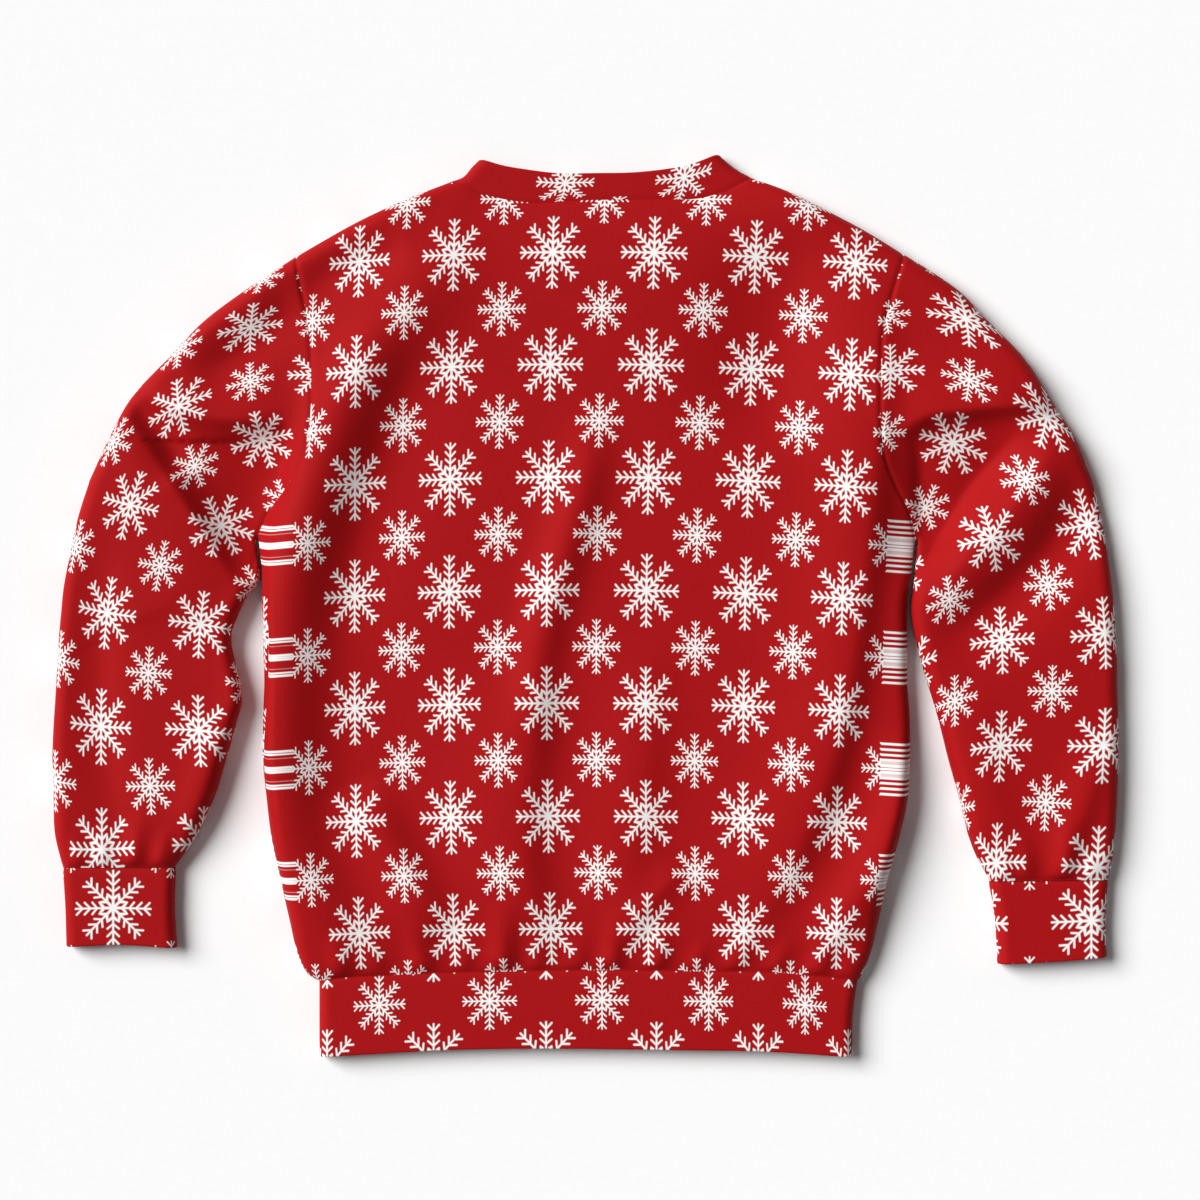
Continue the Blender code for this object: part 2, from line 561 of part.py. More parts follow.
def close_rings(normals):
    """Gives the two ends of each ring, which meet on a fold, the same level normal."""
    normals[:, 0] += normals[:, -1]
    normals[:, 0, 2] = 0
    normals[:, -1] = normals[:, 0]


def build_band(name, edges, over_count, under_count):
    """The hem band or a cuff, between its top, bottom, left and right edges."""
    top, bottom, left, right = edges
    down = np.linspace(0, 1, BAND_ROWS + 1)
    widths = np.linalg.norm(right(down) - left(down), axis=1)
    across = np.array([tube_row(width, BAND_RISE, over_count, under_count) for width in widths])
    down = np.broadcast_to(down[:, None], across.shape)
    plan = patch(top, bottom, left, right, across, down)
    fold, on_top = layers_of(over_count, across.shape[1])
    on_fold = np.isin(np.arange(across.shape[1]), (0, fold, across.shape[1] - 1))
    surface = lifted(plan, on_top, np.broadcast_to(on_fold, across.shape), BAND_RISE)
    normals = normals_of(surface)
    normals[:, fold, 2] = 0
    close_rings(normals)
    round_seam(normals[0], plan[0], fold)
    round_seam(normals[-1], plan[-1], fold)
    piece = wall(name, surface, unit(normals), RIB_WALL, 1, closed_from=0)
    finish(piece, RIB_ROUGHNESS)


def build_cuff(name, sections, end):
    left, right = section_edges(sections)
    if left[0, 0] > right[0, 0]:
        left, right = right, left
    edges = [np.array([left[0], right[0]]), smooth(end), left, right]
    build_band(name, [by_length(edge) for edge in edges], CUFF_COLUMNS, CUFF_UNDER_COLUMNS)


def build_hem_band():
    seam = HEM_SEAM_LINE - [0, SEAM_GAP]
    left, right = smooth(HEM_SIDE_LEFT), smooth(HEM_SIDE_RIGHT)
    seam = seam[(seam[:, 0] > left[0, 0]) & (seam[:, 0] < right[0, 0])]
    seam = joined(np.vstack([left[:1], seam]), right[:1])
    edges = [seam, smooth(HEM_END), left, right]
    build_band("hem_band", [by_length(edge) for edge in edges], HEM_COLUMNS, HEM_UNDER_COLUMNS)


# ---- Neckband -----------------------------------------------------------------------------------
def across_seam(line):
    """Unit directions from a neck seam towards the neckband."""
    slopes = tangents(line, 0)
    return np.stack([-slopes[:, 1], slopes[:, 0]], axis=-1)


def build_neckband():
    """A ring of rows from the free edge to the seam, over the back and then back over the front,
    with the same columns as the panels' at the seam."""
    down = np.linspace(0, 1, NECK_ROWS + 1)[:, None]
    ears = [by_length(smooth(ear)[::-1]) for ear in (EAR_LEFT, EAR_RIGHT)]
    halves, shifts = [], []
    for seam, edge, columns, upright in (
        (NECK_SEAM_BACK, NECK_EDGE_BACK, BACK_COLUMNS, 1),
        (NECK_SEAM_FRONT, NECK_EDGE_FRONT, FRONT_COLUMNS, -1),
    ):
        across = neck_columns(seam, columns, upright)[1]
        across, rows = np.broadcast_arrays(across, down)
        halves.append(patch(by_length(smooth(edge)), by_length(smooth(seam)), *ears, across, rows))
        shifts.append(across_seam(halves[-1][-1]))
    back, front = shifts
    for end in (0, -1):
        mitre = (back[end] + front[end]) / (1 + back[end] @ front[end])
        back[end] = front[end] = mitre
    for half, shift in zip(halves, shifts):
        half += NECK_GAP * shift * down[..., None]
    plan = np.concatenate([halves[0], halves[1][:, -2::-1]], axis=1)
    fold = halves[0].shape[1] - 1
    columns = np.arange(plan.shape[1])
    on_fold = np.broadcast_to(np.isin(columns, (0, fold, columns[-1])), plan.shape[:2])
    surface = lifted(plan, columns <= fold, on_fold, NECK_RISE)
    normals = normals_of(surface)
    normals[:, fold, 2] = 0
    close_rings(normals)
    round_seam(normals[0], plan[0], fold)
    round_seam(normals[-1], plan[-1], fold)
    finish(wall("neckband", surface, unit(normals), RIB_WALL, 1, closed_from=0), RIB_ROUGHNESS)


clear_scene()
build_panel("back", NECK_SEAM_BACK, BACK_COLUMNS, upright=1)
build_panel("front", NECK_SEAM_FRONT, FRONT_COLUMNS, upright=-1)
build_sleeve("sleeve_left", ARMHOLE_LEFT, OVERARM_LEFT, SLEEVE_LEFT, turn=-1)
build_sleeve("sleeve_right", ARMHOLE_RIGHT, OVERARM_RIGHT, SLEEVE_RIGHT, turn=1)
build_cuff("cuff_left", CUFF_LEFT, CUFF_END_LEFT)
build_cuff("cuff_right", CUFF_RIGHT, CUFF_END_RIGHT)
build_hem_band()
build_neckband()
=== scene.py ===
import bpy
import numpy as np
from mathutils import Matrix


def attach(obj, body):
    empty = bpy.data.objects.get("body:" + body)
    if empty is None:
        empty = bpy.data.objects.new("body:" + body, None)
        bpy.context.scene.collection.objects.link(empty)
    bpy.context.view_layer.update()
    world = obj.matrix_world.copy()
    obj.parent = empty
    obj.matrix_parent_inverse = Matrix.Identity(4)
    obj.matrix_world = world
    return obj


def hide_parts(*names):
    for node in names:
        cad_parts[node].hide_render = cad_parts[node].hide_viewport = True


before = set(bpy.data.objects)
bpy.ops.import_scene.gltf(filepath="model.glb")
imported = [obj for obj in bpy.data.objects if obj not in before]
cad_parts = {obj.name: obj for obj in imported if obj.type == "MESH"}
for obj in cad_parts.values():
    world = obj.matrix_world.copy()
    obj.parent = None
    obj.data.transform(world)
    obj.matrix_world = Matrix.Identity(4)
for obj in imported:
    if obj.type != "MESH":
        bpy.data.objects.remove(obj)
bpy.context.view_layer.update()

# A crew-neck sweatshirt laid flat on its front, so that its back shows: eight cut pieces of thin
# cloth. X runs across the picture, Y from the hem to the neck and Z off the table. Every size is
# in millimetres and becomes metres only where a mesh is made.

# ---- Back panel --------------------------------------------------------------------------------
# The wearer's back, cut in one piece from smooth sweatshirt fleece that is printed on its face and
# brushed inside. It is joined to the sleeves, the front, the neckband and the hem band by sewn
# seams, which draw the cloth down into narrow grooves, and it lies in soft folds.
TO_METRES = 0.001
FLEECE_WALL = 2.0
SEAM_GAP = 0.12  # between two pieces at a seam
GROOVES = {"neck": 0.45, "side": 1.1, "band": 0.35}  # how deep each kind of seam draws the cloth
GROOVE_REACH = 2.3  # and how far from it
BODY_RISE, BAND_RISE, NECK_RISE = 21.5, 17.0, 14.0  # heights off the table away from the edges
LOWEST = 5.8  # that a hollow may reach, so that the two layers stay apart
EDGE_SHARE = 0.38  # height of a folded edge over the rise
TOP_ROLL = 0.60  # how far in from an edge the top still rounds, over the rise
UNDER_ROLL = 1.15  # how far in the underside still curls up, over the edge's height
PUFF_REACH, NECK_REACH = 56.0, 70.0  # from a seam to where the cloth stands at its full height
CREASE_REACH, GATHER_REACH = 14.0, 6.0  # from a band's seam to a crease's or gather's full height
ROLL_LINES = 11  # of the grid round a folded edge
ROLL_TURNS = np.linspace(0, 1, ROLL_LINES)
BACK_COLUMNS = 156
ARMHOLE_ROWS, SIDE_ROWS = 70, 104
ARMPIT_INSETS = (0, 1.5, 3.5, 6, 9, 12, 15, 18)  # the closer rows at the armpit
SEAM_INSETS = (0, 0.6, 1.3, 2.2, 3.4, 5, 7.5, 10.5, 14)  # and the closer rows at a band's seam

# The outline from above, as columns x, y
SHOULDER_LEFT = [(-233, 279), (-211, 292), (-182, 308), (-148, 324), (-111, 339)]
SHOULDER_RIGHT = [(133, 343), (162, 332), (194, 316), (224, 300), (255, 281)]
EAR_LEFT = [(-111, 339), (-98, 344), (-92, 351), (-85, 358)]  # the folds at the neckband's ends
EAR_RIGHT = [(133, 343), (125, 347), (116, 353), (106, 362)]
NECK_SEAM_BACK = [(-111, 339), (-101, 337), (-82, 329), (-54, 323), (-2, 324), (48, 325),
                  (98, 327), (115, 333), (133, 343)]
ARMHOLE_LEFT = [(-233, 279), (-226, 246), (-221, 216), (-219, 179), (-220, 144), (-225, 120),
                (-236, 98), (-254, 75), (-264, 54)]
ARMHOLE_RIGHT = [(255, 281), (244, 246), (237, 218), (235, 180), (235, 144), (239, 116),
                 (248, 94), (259, 74), (265, 52)]
SIDE_LEFT = [(-264, 54), (-262, 39), (-260, 24), (-260, 4), (-259, -28), (-258, -60), (-259, -92),
             (-259, -124), (-256, -156), (-252, -188), (-245, -220), (-238, -252), (-230, -284),
             (-224, -296), (-216, -301)]
SIDE_RIGHT = [(265, 52), (262, 28), (258, 2), (258, -28), (258, -60), (260, -92), (260, -124),
              (258, -156), (251, -188), (242, -220), (235, -252), (227, -284), (220, -300)]
HEM_SEAM = [(-216, -301), (-193, -298), (-157, -296), (-109, -294), (-53, -293), (11, -292),
            (91, -293), (155, -294), (195, -298), (220, -300)]
HEM_SIDE_LEFT = [(-214, -301.3), (-214, -332), (-214, -362)]
HEM_SIDE_RIGHT = [(218, -300.3), (214, -332), (214, -362)]

# The outer edge of each sleeve as far as the section that starts at the armpit: x, y
OVERARM_LEFT = [(-233, 279), (-250, 268), (-274, 252), (-306, 228), (-337, 196), (-366, 164),
                (-383, 132), (-398, 100)]
OVERARM_RIGHT = [(255, 281), (276, 268), (299, 252), (322, 228), (353, 196), (373, 164),
                 (393, 132), (406, 100)]
# Sections across each sleeve from there to the cuff: outer edge x, y, inner edge x, y
SLEEVE_LEFT = [
    (-398, 100, -264.5, 54), (-408, 68, -262.4, 36), (-414, 40, -261.0, 20),
    (-419, 14, -272, 5), (-421, -6, -280, -12), (-423, -28, -284, -28),
    (-424, -46, -281, -44), (-425, -64, -277, -60), (-426, -80, -275, -76),
    (-427, -95, -279, -92), (-428, -124, -288, -124), (-427, -156, -298, -156),
    (-426, -184, -313, -187), (-420, -210, -329, -210),
]
SLEEVE_RIGHT = [
    (406, 100, 265.5, 52), (414, 68, 263.5, 34), (419, 36, 261.5, 14),
    (423, 4, 259.5, -4), (425, -28, 264, -30), (426, -48, 268, -46),
    (426, -64, 273, -62), (427, -92, 282, -92), (427, -124, 290, -124),
    (426, -156, 299, -156), (424, -188, 307, -188), (422, -206, 314, -205),
    (419, -220, 323, -221),
]
CUFF_LEFT = [(-420, -210.5, -329, -210.5), (-418, -241, -330, -241), (-417, -274, -328, -275)]
CUFF_RIGHT = [(419, -220.5, 323, -221.5), (417, -252, 328, -252), (418, -282, 330, -288)]
CUFF_SEAM_LEFT, CUFF_SEAM_RIGHT = -210.0, -220.5
SLEEVES_FROM = 272.0  # |x| past which a low point belongs to a sleeve

# How far up over the left edge the front panel reaches: y, angle from the fold in degrees
LEFT_SEAM = [(-301, 0), (-290, 14), (-150, 20), (-110, 30), (-68, 48), (-30, 58), (0, 58),
             (14, 52), (32, 14), (54, 0), (279, 0)]

# Folds of the laid cloth: half widths on the right and on the left of the way along it, height
# (a hollow is negative), how round its top is (2 is soft, 1 a sharp crease), then x, y along it
CREASES = [
    (30, 32, 15.5, 2, [(-88, 316), (-108, 284), (-124, 262), (-147, 234), (-172, 204), (-193, 164),
     (-207, 128), (-220, 90), (-232, 48), (-238, 8), (-241, -40), (-244, -92), (-243, -140),
     (-236, -190), (-222, -226), (-200, -272), (-176, -330)]),
    (22, 40, -3.5, 2, [(-112, 225), (-138, 178), (-156, 130), (-172, 80), (-186, 20), (-196, -50)]),
    (18, 18, 7.5, 2, [(10, 165), (-4, 90), (-14, 55), (-22, 28), (-30, 0), (-38, -40), (-45, -80),
     (-50, -130)]),
    (55, 20, 7.0, 2, [(-36, -40), (-46, -110), (-52, -150), (-52, -200), (-46, -240), (-40, -285)]),
    (28, 20, 8.0, 2, [(-184, -138), (-163, -182), (-148, -208), (-130, -240), (-112, -268)]),
    (34, 22, 4.0, 2, [(46, -20), (46, -80), (43, -130), (36, -180), (24, -230), (10, -275)]),
    (16, 13, 4.0, 1.5, [(80, -204), (60, -228), (42, -246), (30, -278)]),
    (52, 40, -9.0, 2, [(168, 316), (156, 250), (146, 190), (134, 110)]),
    (46, 18, 9.5, 2, [(226, 280), (230, 200), (229, 140), (226, 90), (221, 40), (214, -10),
     (207, -60), (198, -105), (186, -145), (168, -190), (146, -230), (122, -270), (112, -292)]),
    (20, 18, 8.0, 2, [(256, -90), (252, -150), (245, -180), (232, -210), (216, -236), (198, -260),
     (178, -284)]),
    (14, 16, 4.5, 2, [(-238, 272), (-269, 242), (-303, 218), (-335, 192)]),
    (14, 16, -3.5, 2, [(-229, 246), (-251, 217), (-283, 194), (-315, 177)]),
    (16, 14, -4.0, 2, [(-232, 240), (-205, 262), (-175, 275), (-140, 286)]),
    (11, 30, 9.0, 1.5, [(-372, 176), (-330, 158), (-300, 150), (-262, 147), (-226, 146)]),
    (54, 14, 14.5, 1.3, [(-386, 184), (-366, 152), (-344, 118), (-323, 86), (-302, 52), (-284, 22),
     (-272, -10)]),
    (16, 14, -8.0, 2, [(-368, 172), (-350, 146), (-334, 122), (-320, 98)]),
    (56, 8, -15.5, 1.25, [(-244, 158), (-240, 130), (-246, 100), (-256, 70), (-264, 45), (-266, 20),
     (-266, -10)]),
    (24, 16, -4.5, 2, [(-386, 66), (-390, -20), (-390, -80), (-384, -135), (-374, -180),
     (-364, -216)]),
    (14, 10, 3.0, 2, [(-290, -80), (-299, -115), (-310, -150), (-324, -190)]),
    (9, 34, 11.0, 1.4, [(243, 128), (256, 142), (272, 151), (300, 155), (330, 158), (356, 158),
     (376, 150)]),
    (36, 20, -15.5, 1.2, [(352, 146), (328, 118), (310, 98), (296, 76), (282, 52), (270, 32),
     (258, 4)]),
    (8, 22, -6.0, 1.5, [(262, 142), (267, 112), (268, 84), (270, 40)]),
    (22, 26, 9.5, 1.6, [(378, 152), (368, 118), (348, 87), (324, 62), (303, 38), (287, 18),
     (266, -8)]),
    (20, 28, -8.0, 2, [(398, 118), (388, 70), (366, 36), (338, 8), (308, -16), (276, -46)]),
    (20, 20, 3.0, 2, [(300, -60), (310, -100), (318, -140), (330, -180), (338, -210)]),
    (18, 12, 4.0, 2, [(410, -110), (400, -150), (388, -185), (378, -216)]),
]

# Gathers where the cloth is eased into a band: x at the seam, lean in x, reach, half width, height
GATHERS = [
    (-196, -4, 39, 9, 4.7), (-166, -6, 30, 8, 3.2), (-130, -8, 46, 10, 5.5), (-98, 2, 28, 7, 3.0),
    (-68, 3, 60, 11, 6.6), (-38, -4, 34, 8, 3.6), (-8, 3, 30, 8, 3.0), (20, 5, 51, 9, 5.5),
    (56, 8, 39, 8, 5.1), (86, 8, 28, 7, 3.0), (118, 10, 34, 9, 4.1), (150, 12, 30, 8, 3.2),
    (184, 10, 39, 9, 5.1), (208, 6, 28, 7, 3.0),
    (-405, -3, 30, 7, 3.6), (-386, -2, 34, 8, 4.1), (-362, 4, 46, 9, 5.8), (-341, 6, 34, 7, 4.7),
    (336, -4, 34, 7, 3.6), (352, -4, 41, 8, 4.3), (380, 6, 53, 9, 6.6), (403, 3, 25, 7, 4.1),
]

# Where the print's large flakes lie on the back: row of the repeat, x of its six flakes, their y
BACK_PRINT = [
    (0, (-180, -108, -29, 57, 138, 214), (274, 279, 282, 282, 278, 273)),
    (1, (-182, -106, -28, 51, 132, 210), (186, 190, 193, 192, 188, 184)),
    (2, (-184, -108, -30, 50, 129, 208), (96, 100, 102, 102, 98, 94)),
    (3, (-186, -109, -31, 48, 127, 204), (8, 10, 12, 11, 9, 6)),
    (4, (-185, -109, -31, 47, 125, 202), (-82, -80, -78, -78, -81, -83)),
    (5, (-183, -107, -30, 47, 125, 202), (-173, -169, -169, -170, -170, -174)),
    (6, (-181, -105, -28, 50, 125, 199), (-262, -259, -258, -258, -259, -263)),
]
# Past these columns of the repeat the print is drawn out into level bars, as at the photo's sides
BARS = (-0.663, 5.470)
CHART_SIZE = 200.0  # the length that x and y are divided by, which keeps their powers small


def smooth(points, per_span=24):
    """A curve through the points: on each span a cubic whose end slopes are those of the chords
    on both sides, each weighted by the length of the other, and measured along the chords."""
    knots = np.array(points, float)
    chords = np.linalg.norm(np.diff(knots, axis=0), axis=1)
    along = np.concatenate([[0], np.cumsum(chords)])
    slopes = np.gradient(knots, along, axis=0, edge_order=1)
    share = np.linspace(0, 1, per_span, endpoint=False)[None, :, None]
    start, end = knots[:-1, None], knots[1:, None]
    leave = slopes[:-1, None] * chords[:, None, None]
    arrive = slopes[1:, None] * chords[:, None, None]
    spans = (
        (2 * share**3 - 3 * share**2 + 1) * start
        + (share**3 - 2 * share**2 + share) * leave
        + (3 * share**2 - 2 * share**3) * end
        + (share**3 - share**2) * arrive
    )
    return np.vstack([spans.reshape(-1, knots.shape[1]), knots[-1:]])


def joined(*curves):
    return np.vstack([curves[0]] + [curve[1:] for curve in curves[1:]])


def shares_of(curve):
    """How far along a curve each of its points is, from 0 to 1."""
    steps = np.linalg.norm(np.diff(curve, axis=0), axis=1)
    return np.concatenate([[0], np.cumsum(steps)]) / steps.sum()


def at(curve, share, shares=None):
    """The points of a curve at these shares of its length."""
    known = shares_of(curve) if shares is None else shares
    return np.stack([np.interp(share, known, curve[:, axis]) for axis in range(2)], axis=-1)


def length_of(curve):
    return np.linalg.norm(np.diff(curve, axis=0), axis=1).sum()


def by_length(curve):
    return lambda share: at(curve, share)


def spliced(curves, breaks):
    """Curves end to end as one function of a share, each filling its part between the breaks."""
    shares = [breaks[0] + shares_of(curves[0]) * (breaks[1] - breaks[0])]
    for curve, start, end in zip(curves[1:], breaks[1:], breaks[2:]):
        shares.append(start + shares_of(curve)[1:] * (end - start))
    whole, known = joined(*curves), np.concatenate(shares)
    return lambda share: at(whole, share, known)


def patch(top, bottom, left, right, across, down):
    """The plan points of a four-sided patch: lines from left to right and lines from top to
    bottom are added, and the flat sheet through the four corners is taken away once."""
    across_, down_ = across[..., None], down[..., None]
    corners = (
        (1 - across_) * (1 - down_) * left(0.0)
        + across_ * (1 - down_) * right(0.0)
        + (1 - across_) * down_ * left(1.0)
        + across_ * down_ * right(1.0)
    )
    rows = (1 - across_) * left(down) + across_ * right(down)
    columns = (1 - down_) * top(across) + down_ * bottom(across)
    return rows + columns - corners


def insets(angles, reach):
    """How far in from a folded edge the cloth is at each angle round its roll."""
    return reach * (1 - np.cos(np.radians(angles)))


def resampled(curve, step):
    return at(curve, np.linspace(0, 1, int(length_of(curve) / step) + 2))


def closest(points, line):
    """The distance in plan from each point to a line, more than 0 on the left of the way along
    it, and how far along the line its foot is, from 0 to 1: the nearest of the line's own points
    comes first, then the foot of the perpendicular on the two spans beside it."""
    flat = points.reshape(-1, 2)
    gaps, shares = np.empty(len(flat)), np.empty(len(flat))
    at_once = 4000
    for start in range(0, len(flat), at_once):
        some = flat[start : start + at_once]
        near = ((some[:, None] - line) ** 2).sum(-1).argmin(1)
        best = np.full(len(some), np.inf)
        place = np.zeros(len(some))
        for first in (np.maximum(near - 1, 0), np.minimum(near, len(line) - 2)):
            span = line[first + 1] - line[first]
            foot = np.clip(((some - line[first]) * span).sum(1) / (span**2).sum(1), 0, 1)
            away = some - line[first] - foot[:, None] * span
            gap = np.linalg.norm(away, axis=1)
            left = span[:, 0] * away[:, 1] > span[:, 1] * away[:, 0]
            gap = np.where(left, gap, -gap)
            place = np.where(np.abs(gap) < np.abs(best), (first + foot) / (len(line) - 1), place)
            best = np.where(np.abs(gap) < np.abs(best), gap, best)
        gaps[start : start + at_once], shares[start : start + at_once] = best, place
    return gaps.reshape(points.shape[:-1]), shares.reshape(points.shape[:-1])


def section_edges(sections):
    """The outer and inner edges of a tube from the table of its sections."""
    both = smooth(sections)
    return both[:, :2], both[:, 2:]


OUTER_LEFT, INNER_LEFT = section_edges(SLEEVE_LEFT)
OUTER_RIGHT, INNER_RIGHT = section_edges(SLEEVE_RIGHT)
FOLDED_EDGES = [
    resampled(curve, 3.0)
    for curve in (
        joined(smooth(EAR_LEFT)[::-1], smooth(SHOULDER_LEFT)[::-1], smooth(OVERARM_LEFT)),
        joined(OUTER_LEFT, section_edges(CUFF_LEFT)[0]),
        joined(INNER_LEFT, section_edges(CUFF_LEFT)[1]),
        joined(smooth(SIDE_LEFT), smooth(HEM_SIDE_LEFT)),
        joined(smooth(EAR_RIGHT)[::-1], smooth(SHOULDER_RIGHT), smooth(OVERARM_RIGHT)),
        joined(OUTER_RIGHT, section_edges(CUFF_RIGHT)[0]),
        joined(INNER_RIGHT, section_edges(CUFF_RIGHT)[1]),
        joined(smooth(SIDE_RIGHT), smooth(HEM_SIDE_RIGHT)),
    )
]
NECK_SEAM_LINE = resampled(smooth(NECK_SEAM_BACK), 3.0)
HEM_SEAM_LINE = smooth(HEM_SEAM)
CREASE_LINES = [(*sizes, resampled(smooth(line), 4.0)) for *sizes, line in CREASES]


def ramp(distance, reach):
    """0 at a seam and 1 from reach on, leaving the seam steeply, as gathered cloth does."""
    return 1 - (1 - np.clip(distance / reach, 0, 1)) ** 2


def above_band(plan):
    """How far up the garment from its hem or cuff seam a point is."""
    x, y = plan[..., 0], plan[..., 1]
    hem = np.interp(x, HEM_SEAM_LINE[:, 0], HEM_SEAM_LINE[:, 1])
    cuff = np.where(x < 0, CUFF_SEAM_LEFT, CUFF_SEAM_RIGHT)
    return y - np.where(np.abs(x) > SLEEVES_FROM, cuff, hem)


def creases(plan):
    """The height that creases add: each falls off across its line as e to the minus a power of
    the distance over the half width, and fades at both ends."""
    total = np.zeros(plan.shape[:-1])
    for right, left, height, power, line in CREASE_LINES:
        gap, share = closest(plan, line)
        half = np.where(gap > 0, left, right)
        fade = (1 - (2 * share - 1) ** 4) ** 2
        total += height * fade * np.exp(-(np.abs(gap / half) ** power))
    up = above_band(plan)
    for x, lean, reach, half, height in GATHERS:
        middle = x + lean * np.clip(up / reach, 0, 1)
        fade = np.clip(1 - up / reach, 0, 1) * ramp(up, GATHER_REACH)
        total += height * fade * np.exp(-(((plan[..., 0] - middle) / half) ** 2))
    return total * ramp(up, CREASE_REACH)


def rise_of(plan, band_rise):
    """The height of plain cloth away from its edges, without creases."""
    if band_rise is not None:
        return np.full(plan.shape[:-1], band_rise)
    near_band = 1 - ramp(above_band(plan), PUFF_REACH)
    near_neck = 1 - ramp(np.abs(closest(plan, NECK_SEAM_LINE)[0]), NECK_REACH)
    return BODY_RISE - (BODY_RISE - BAND_RISE) * near_band - (BODY_RISE - NECK_RISE) * near_neck


def rounded(share):
    """The height over the width of a quarter of a round that is squarer than a circle, begun a
    little in to start less steeply."""
    begin, power = 0.01, 2.6
    inside = begin + (1 - begin) * np.clip(share, 0, 1)
    height = (1 - (1 - inside) ** power) ** (1 / power)
    lowest = (1 - (1 - begin) ** power) ** (1 / power)
    return (height - lowest) / (1 - lowest)


def lifted(plan, on_top, on_fold, band_rise=None):
    """The outer surface over plan points. on_top says which points are on the upper layer, and
    on_fold which lie right on a folded edge."""
    rise = rise_of(plan, band_rise)
    edge = EDGE_SHARE * rise
    inward = np.min([np.abs(closest(plan, line)[0]) for line in FOLDED_EDGES], axis=0)
    inward = np.where(on_fold, 0, inward)
    crown = rise + (creases(plan) if band_rise is None else 0)
    crown = np.maximum(crown, LOWEST)
    top = edge + (crown - edge) * rounded(inward / (TOP_ROLL * rise))
    under = edge * (1 - rounded(inward / (UNDER_ROLL * edge)))
    return np.dstack([plan, np.where(on_top, top, under)])


def tangents(grid, axis):
    """Unit slopes along one direction of a grid, those of a circle through three points."""
    grid = np.moveaxis(grid, axis, 0)
    ahead = grid[1:] - grid[:-1]
    sizes = np.linalg.norm(ahead, axis=-1, keepdims=True)
    units = ahead / sizes
    middle = units[:-1] * sizes[1:] + units[1:] * sizes[:-1]
    middle = middle / np.linalg.norm(middle, axis=-1, keepdims=True)
    first, last = units[0], units[-1]
    start = 2 * (first * middle[0]).sum(-1, keepdims=True) * first - middle[0]
    end = 2 * (last * middle[-1]).sum(-1, keepdims=True) * last - middle[-1]
    return np.moveaxis(np.concatenate([start[None], middle, end[None]]), 0, axis)


def unit(vectors):
    return vectors / np.linalg.norm(vectors, axis=-1, keepdims=True)


def normals_of(outer):
    return unit(np.cross(tangents(outer, 0), tangents(outer, 1)))


def without_part(normals, slopes):
    """The normals turned into the upright plane of a seam with these slopes in plan."""
    across = np.stack([-slopes[..., 1], slopes[..., 0], 0 * slopes[..., 0]], axis=-1)
    return unit(normals - (normals * across).sum(-1, keepdims=True) * across)


def seam_normals(normals, plan):
    """The normals along a seam without their part across it, so that the two walls end face to
    face, and level at its ends, which lie on folds."""
    slopes = tangents(plan, 0)
    turned = without_part(normals, slopes)
    turned[0], turned[-1] = [*-slopes[0], 0], [*slopes[-1], 0]
    return turned


def spread(start, end, length, count):
    """Shares of a length: the start's insets, evenly spaced ones, then the end's."""
    start, end = np.array(start), length - np.array(end)[::-1]
    return np.concatenate([start, np.linspace(start[-1], end[0], count + 2)[1:-1], end]) / length


def run_of(outer, axis):
    """The length of cloth along one direction of a grid, from its first line on."""
    steps = np.linalg.norm(np.diff(outer, axis=axis), axis=-1)
    return np.cumsum(np.insert(steps, 0, 0, axis=axis), axis=axis)


def sewn(outer, normals, seams):
    """The outer surface drawn in along its seams: each groove is a Gaussian of the length of
    cloth from that side of the grid. A seam is its axis, its end, 0 or -1, and its kind."""
    depth = np.zeros(outer.shape[:2])
    for axis, end, kind in seams:
        run = run_of(outer, axis)
        away = np.abs(run - run.take([end], axis=axis))
        depth = np.maximum(depth, GROOVES[kind] * np.exp(-((away / GROOVE_REACH) ** 2)))
    return outer - depth[..., None] * normals


def charted(plan, chart, degree=3):
    """Places in the print's repeat over plan points: the column and the row of the repeat are
    each a polynomial in x and y, the closest to a chart of rows column, row, x, y."""
    chart = np.array(chart, float)
    centre = chart[:, 2:].mean(axis=0)

    def terms(points):
        x, y = np.moveaxis((points - centre) / CHART_SIZE, -1, 0)
        powers = [(a, b) for a in range(degree + 1) for b in range(degree + 1 - a)]
        return np.stack([x**a * y**b for a, b in powers], axis=-1)

    weights = np.linalg.lstsq(terms(chart[:, 2:]), chart[:, :2], rcond=None)[0]
    return terms(plan) @ weights


def carried(places, outer, start, stop, axis):
    """Places in the repeat carried on past the grid lines start and stop. There each step from
    line to line is lengthened by the cloth's run over its run in plan, so that the print is not
    drawn out round a fold."""
    places, outer = np.moveaxis(places, axis, 0), np.moveaxis(outer, axis, 0)
    ahead = np.diff(outer, axis=0)
    level = np.linalg.norm(ahead[..., :2], axis=-1)
    still = level < 1e-6
    stretch = np.linalg.norm(ahead, axis=-1) / np.where(still, 1, level)
    stretch[still] = 1
    stretch[start:stop] = 1
    steps = np.diff(places, axis=0) * stretch[..., None]
    total = np.cumsum(np.insert(steps, 0, 0, axis=0), axis=0)
    return np.moveaxis(places[start] + total - total[start], 0, axis)


def triangles(points, prints):
    """Two triangles for each cell of a grid of point numbers, with the print's places at their
    corners. Cells that shared points have flattened are left out."""
    corners, places = (
        np.stack([grid[:-1, :-1], grid[1:, :-1], grid[1:, 1:], grid[:-1, 1:]], axis=2)
        for grid in (points, prints)
    )
    halves = ([0, 1, 2], [0, 2, 3])
    faces = np.concatenate([corners[:, :, half].reshape(-1, 3) for half in halves])
    places = np.concatenate([places[:, :, half].reshape(-1, 3, 2) for half in halves])
    whole = (faces != np.roll(faces, 1, axis=1)).all(axis=1)
    return faces[whole], places[whole]


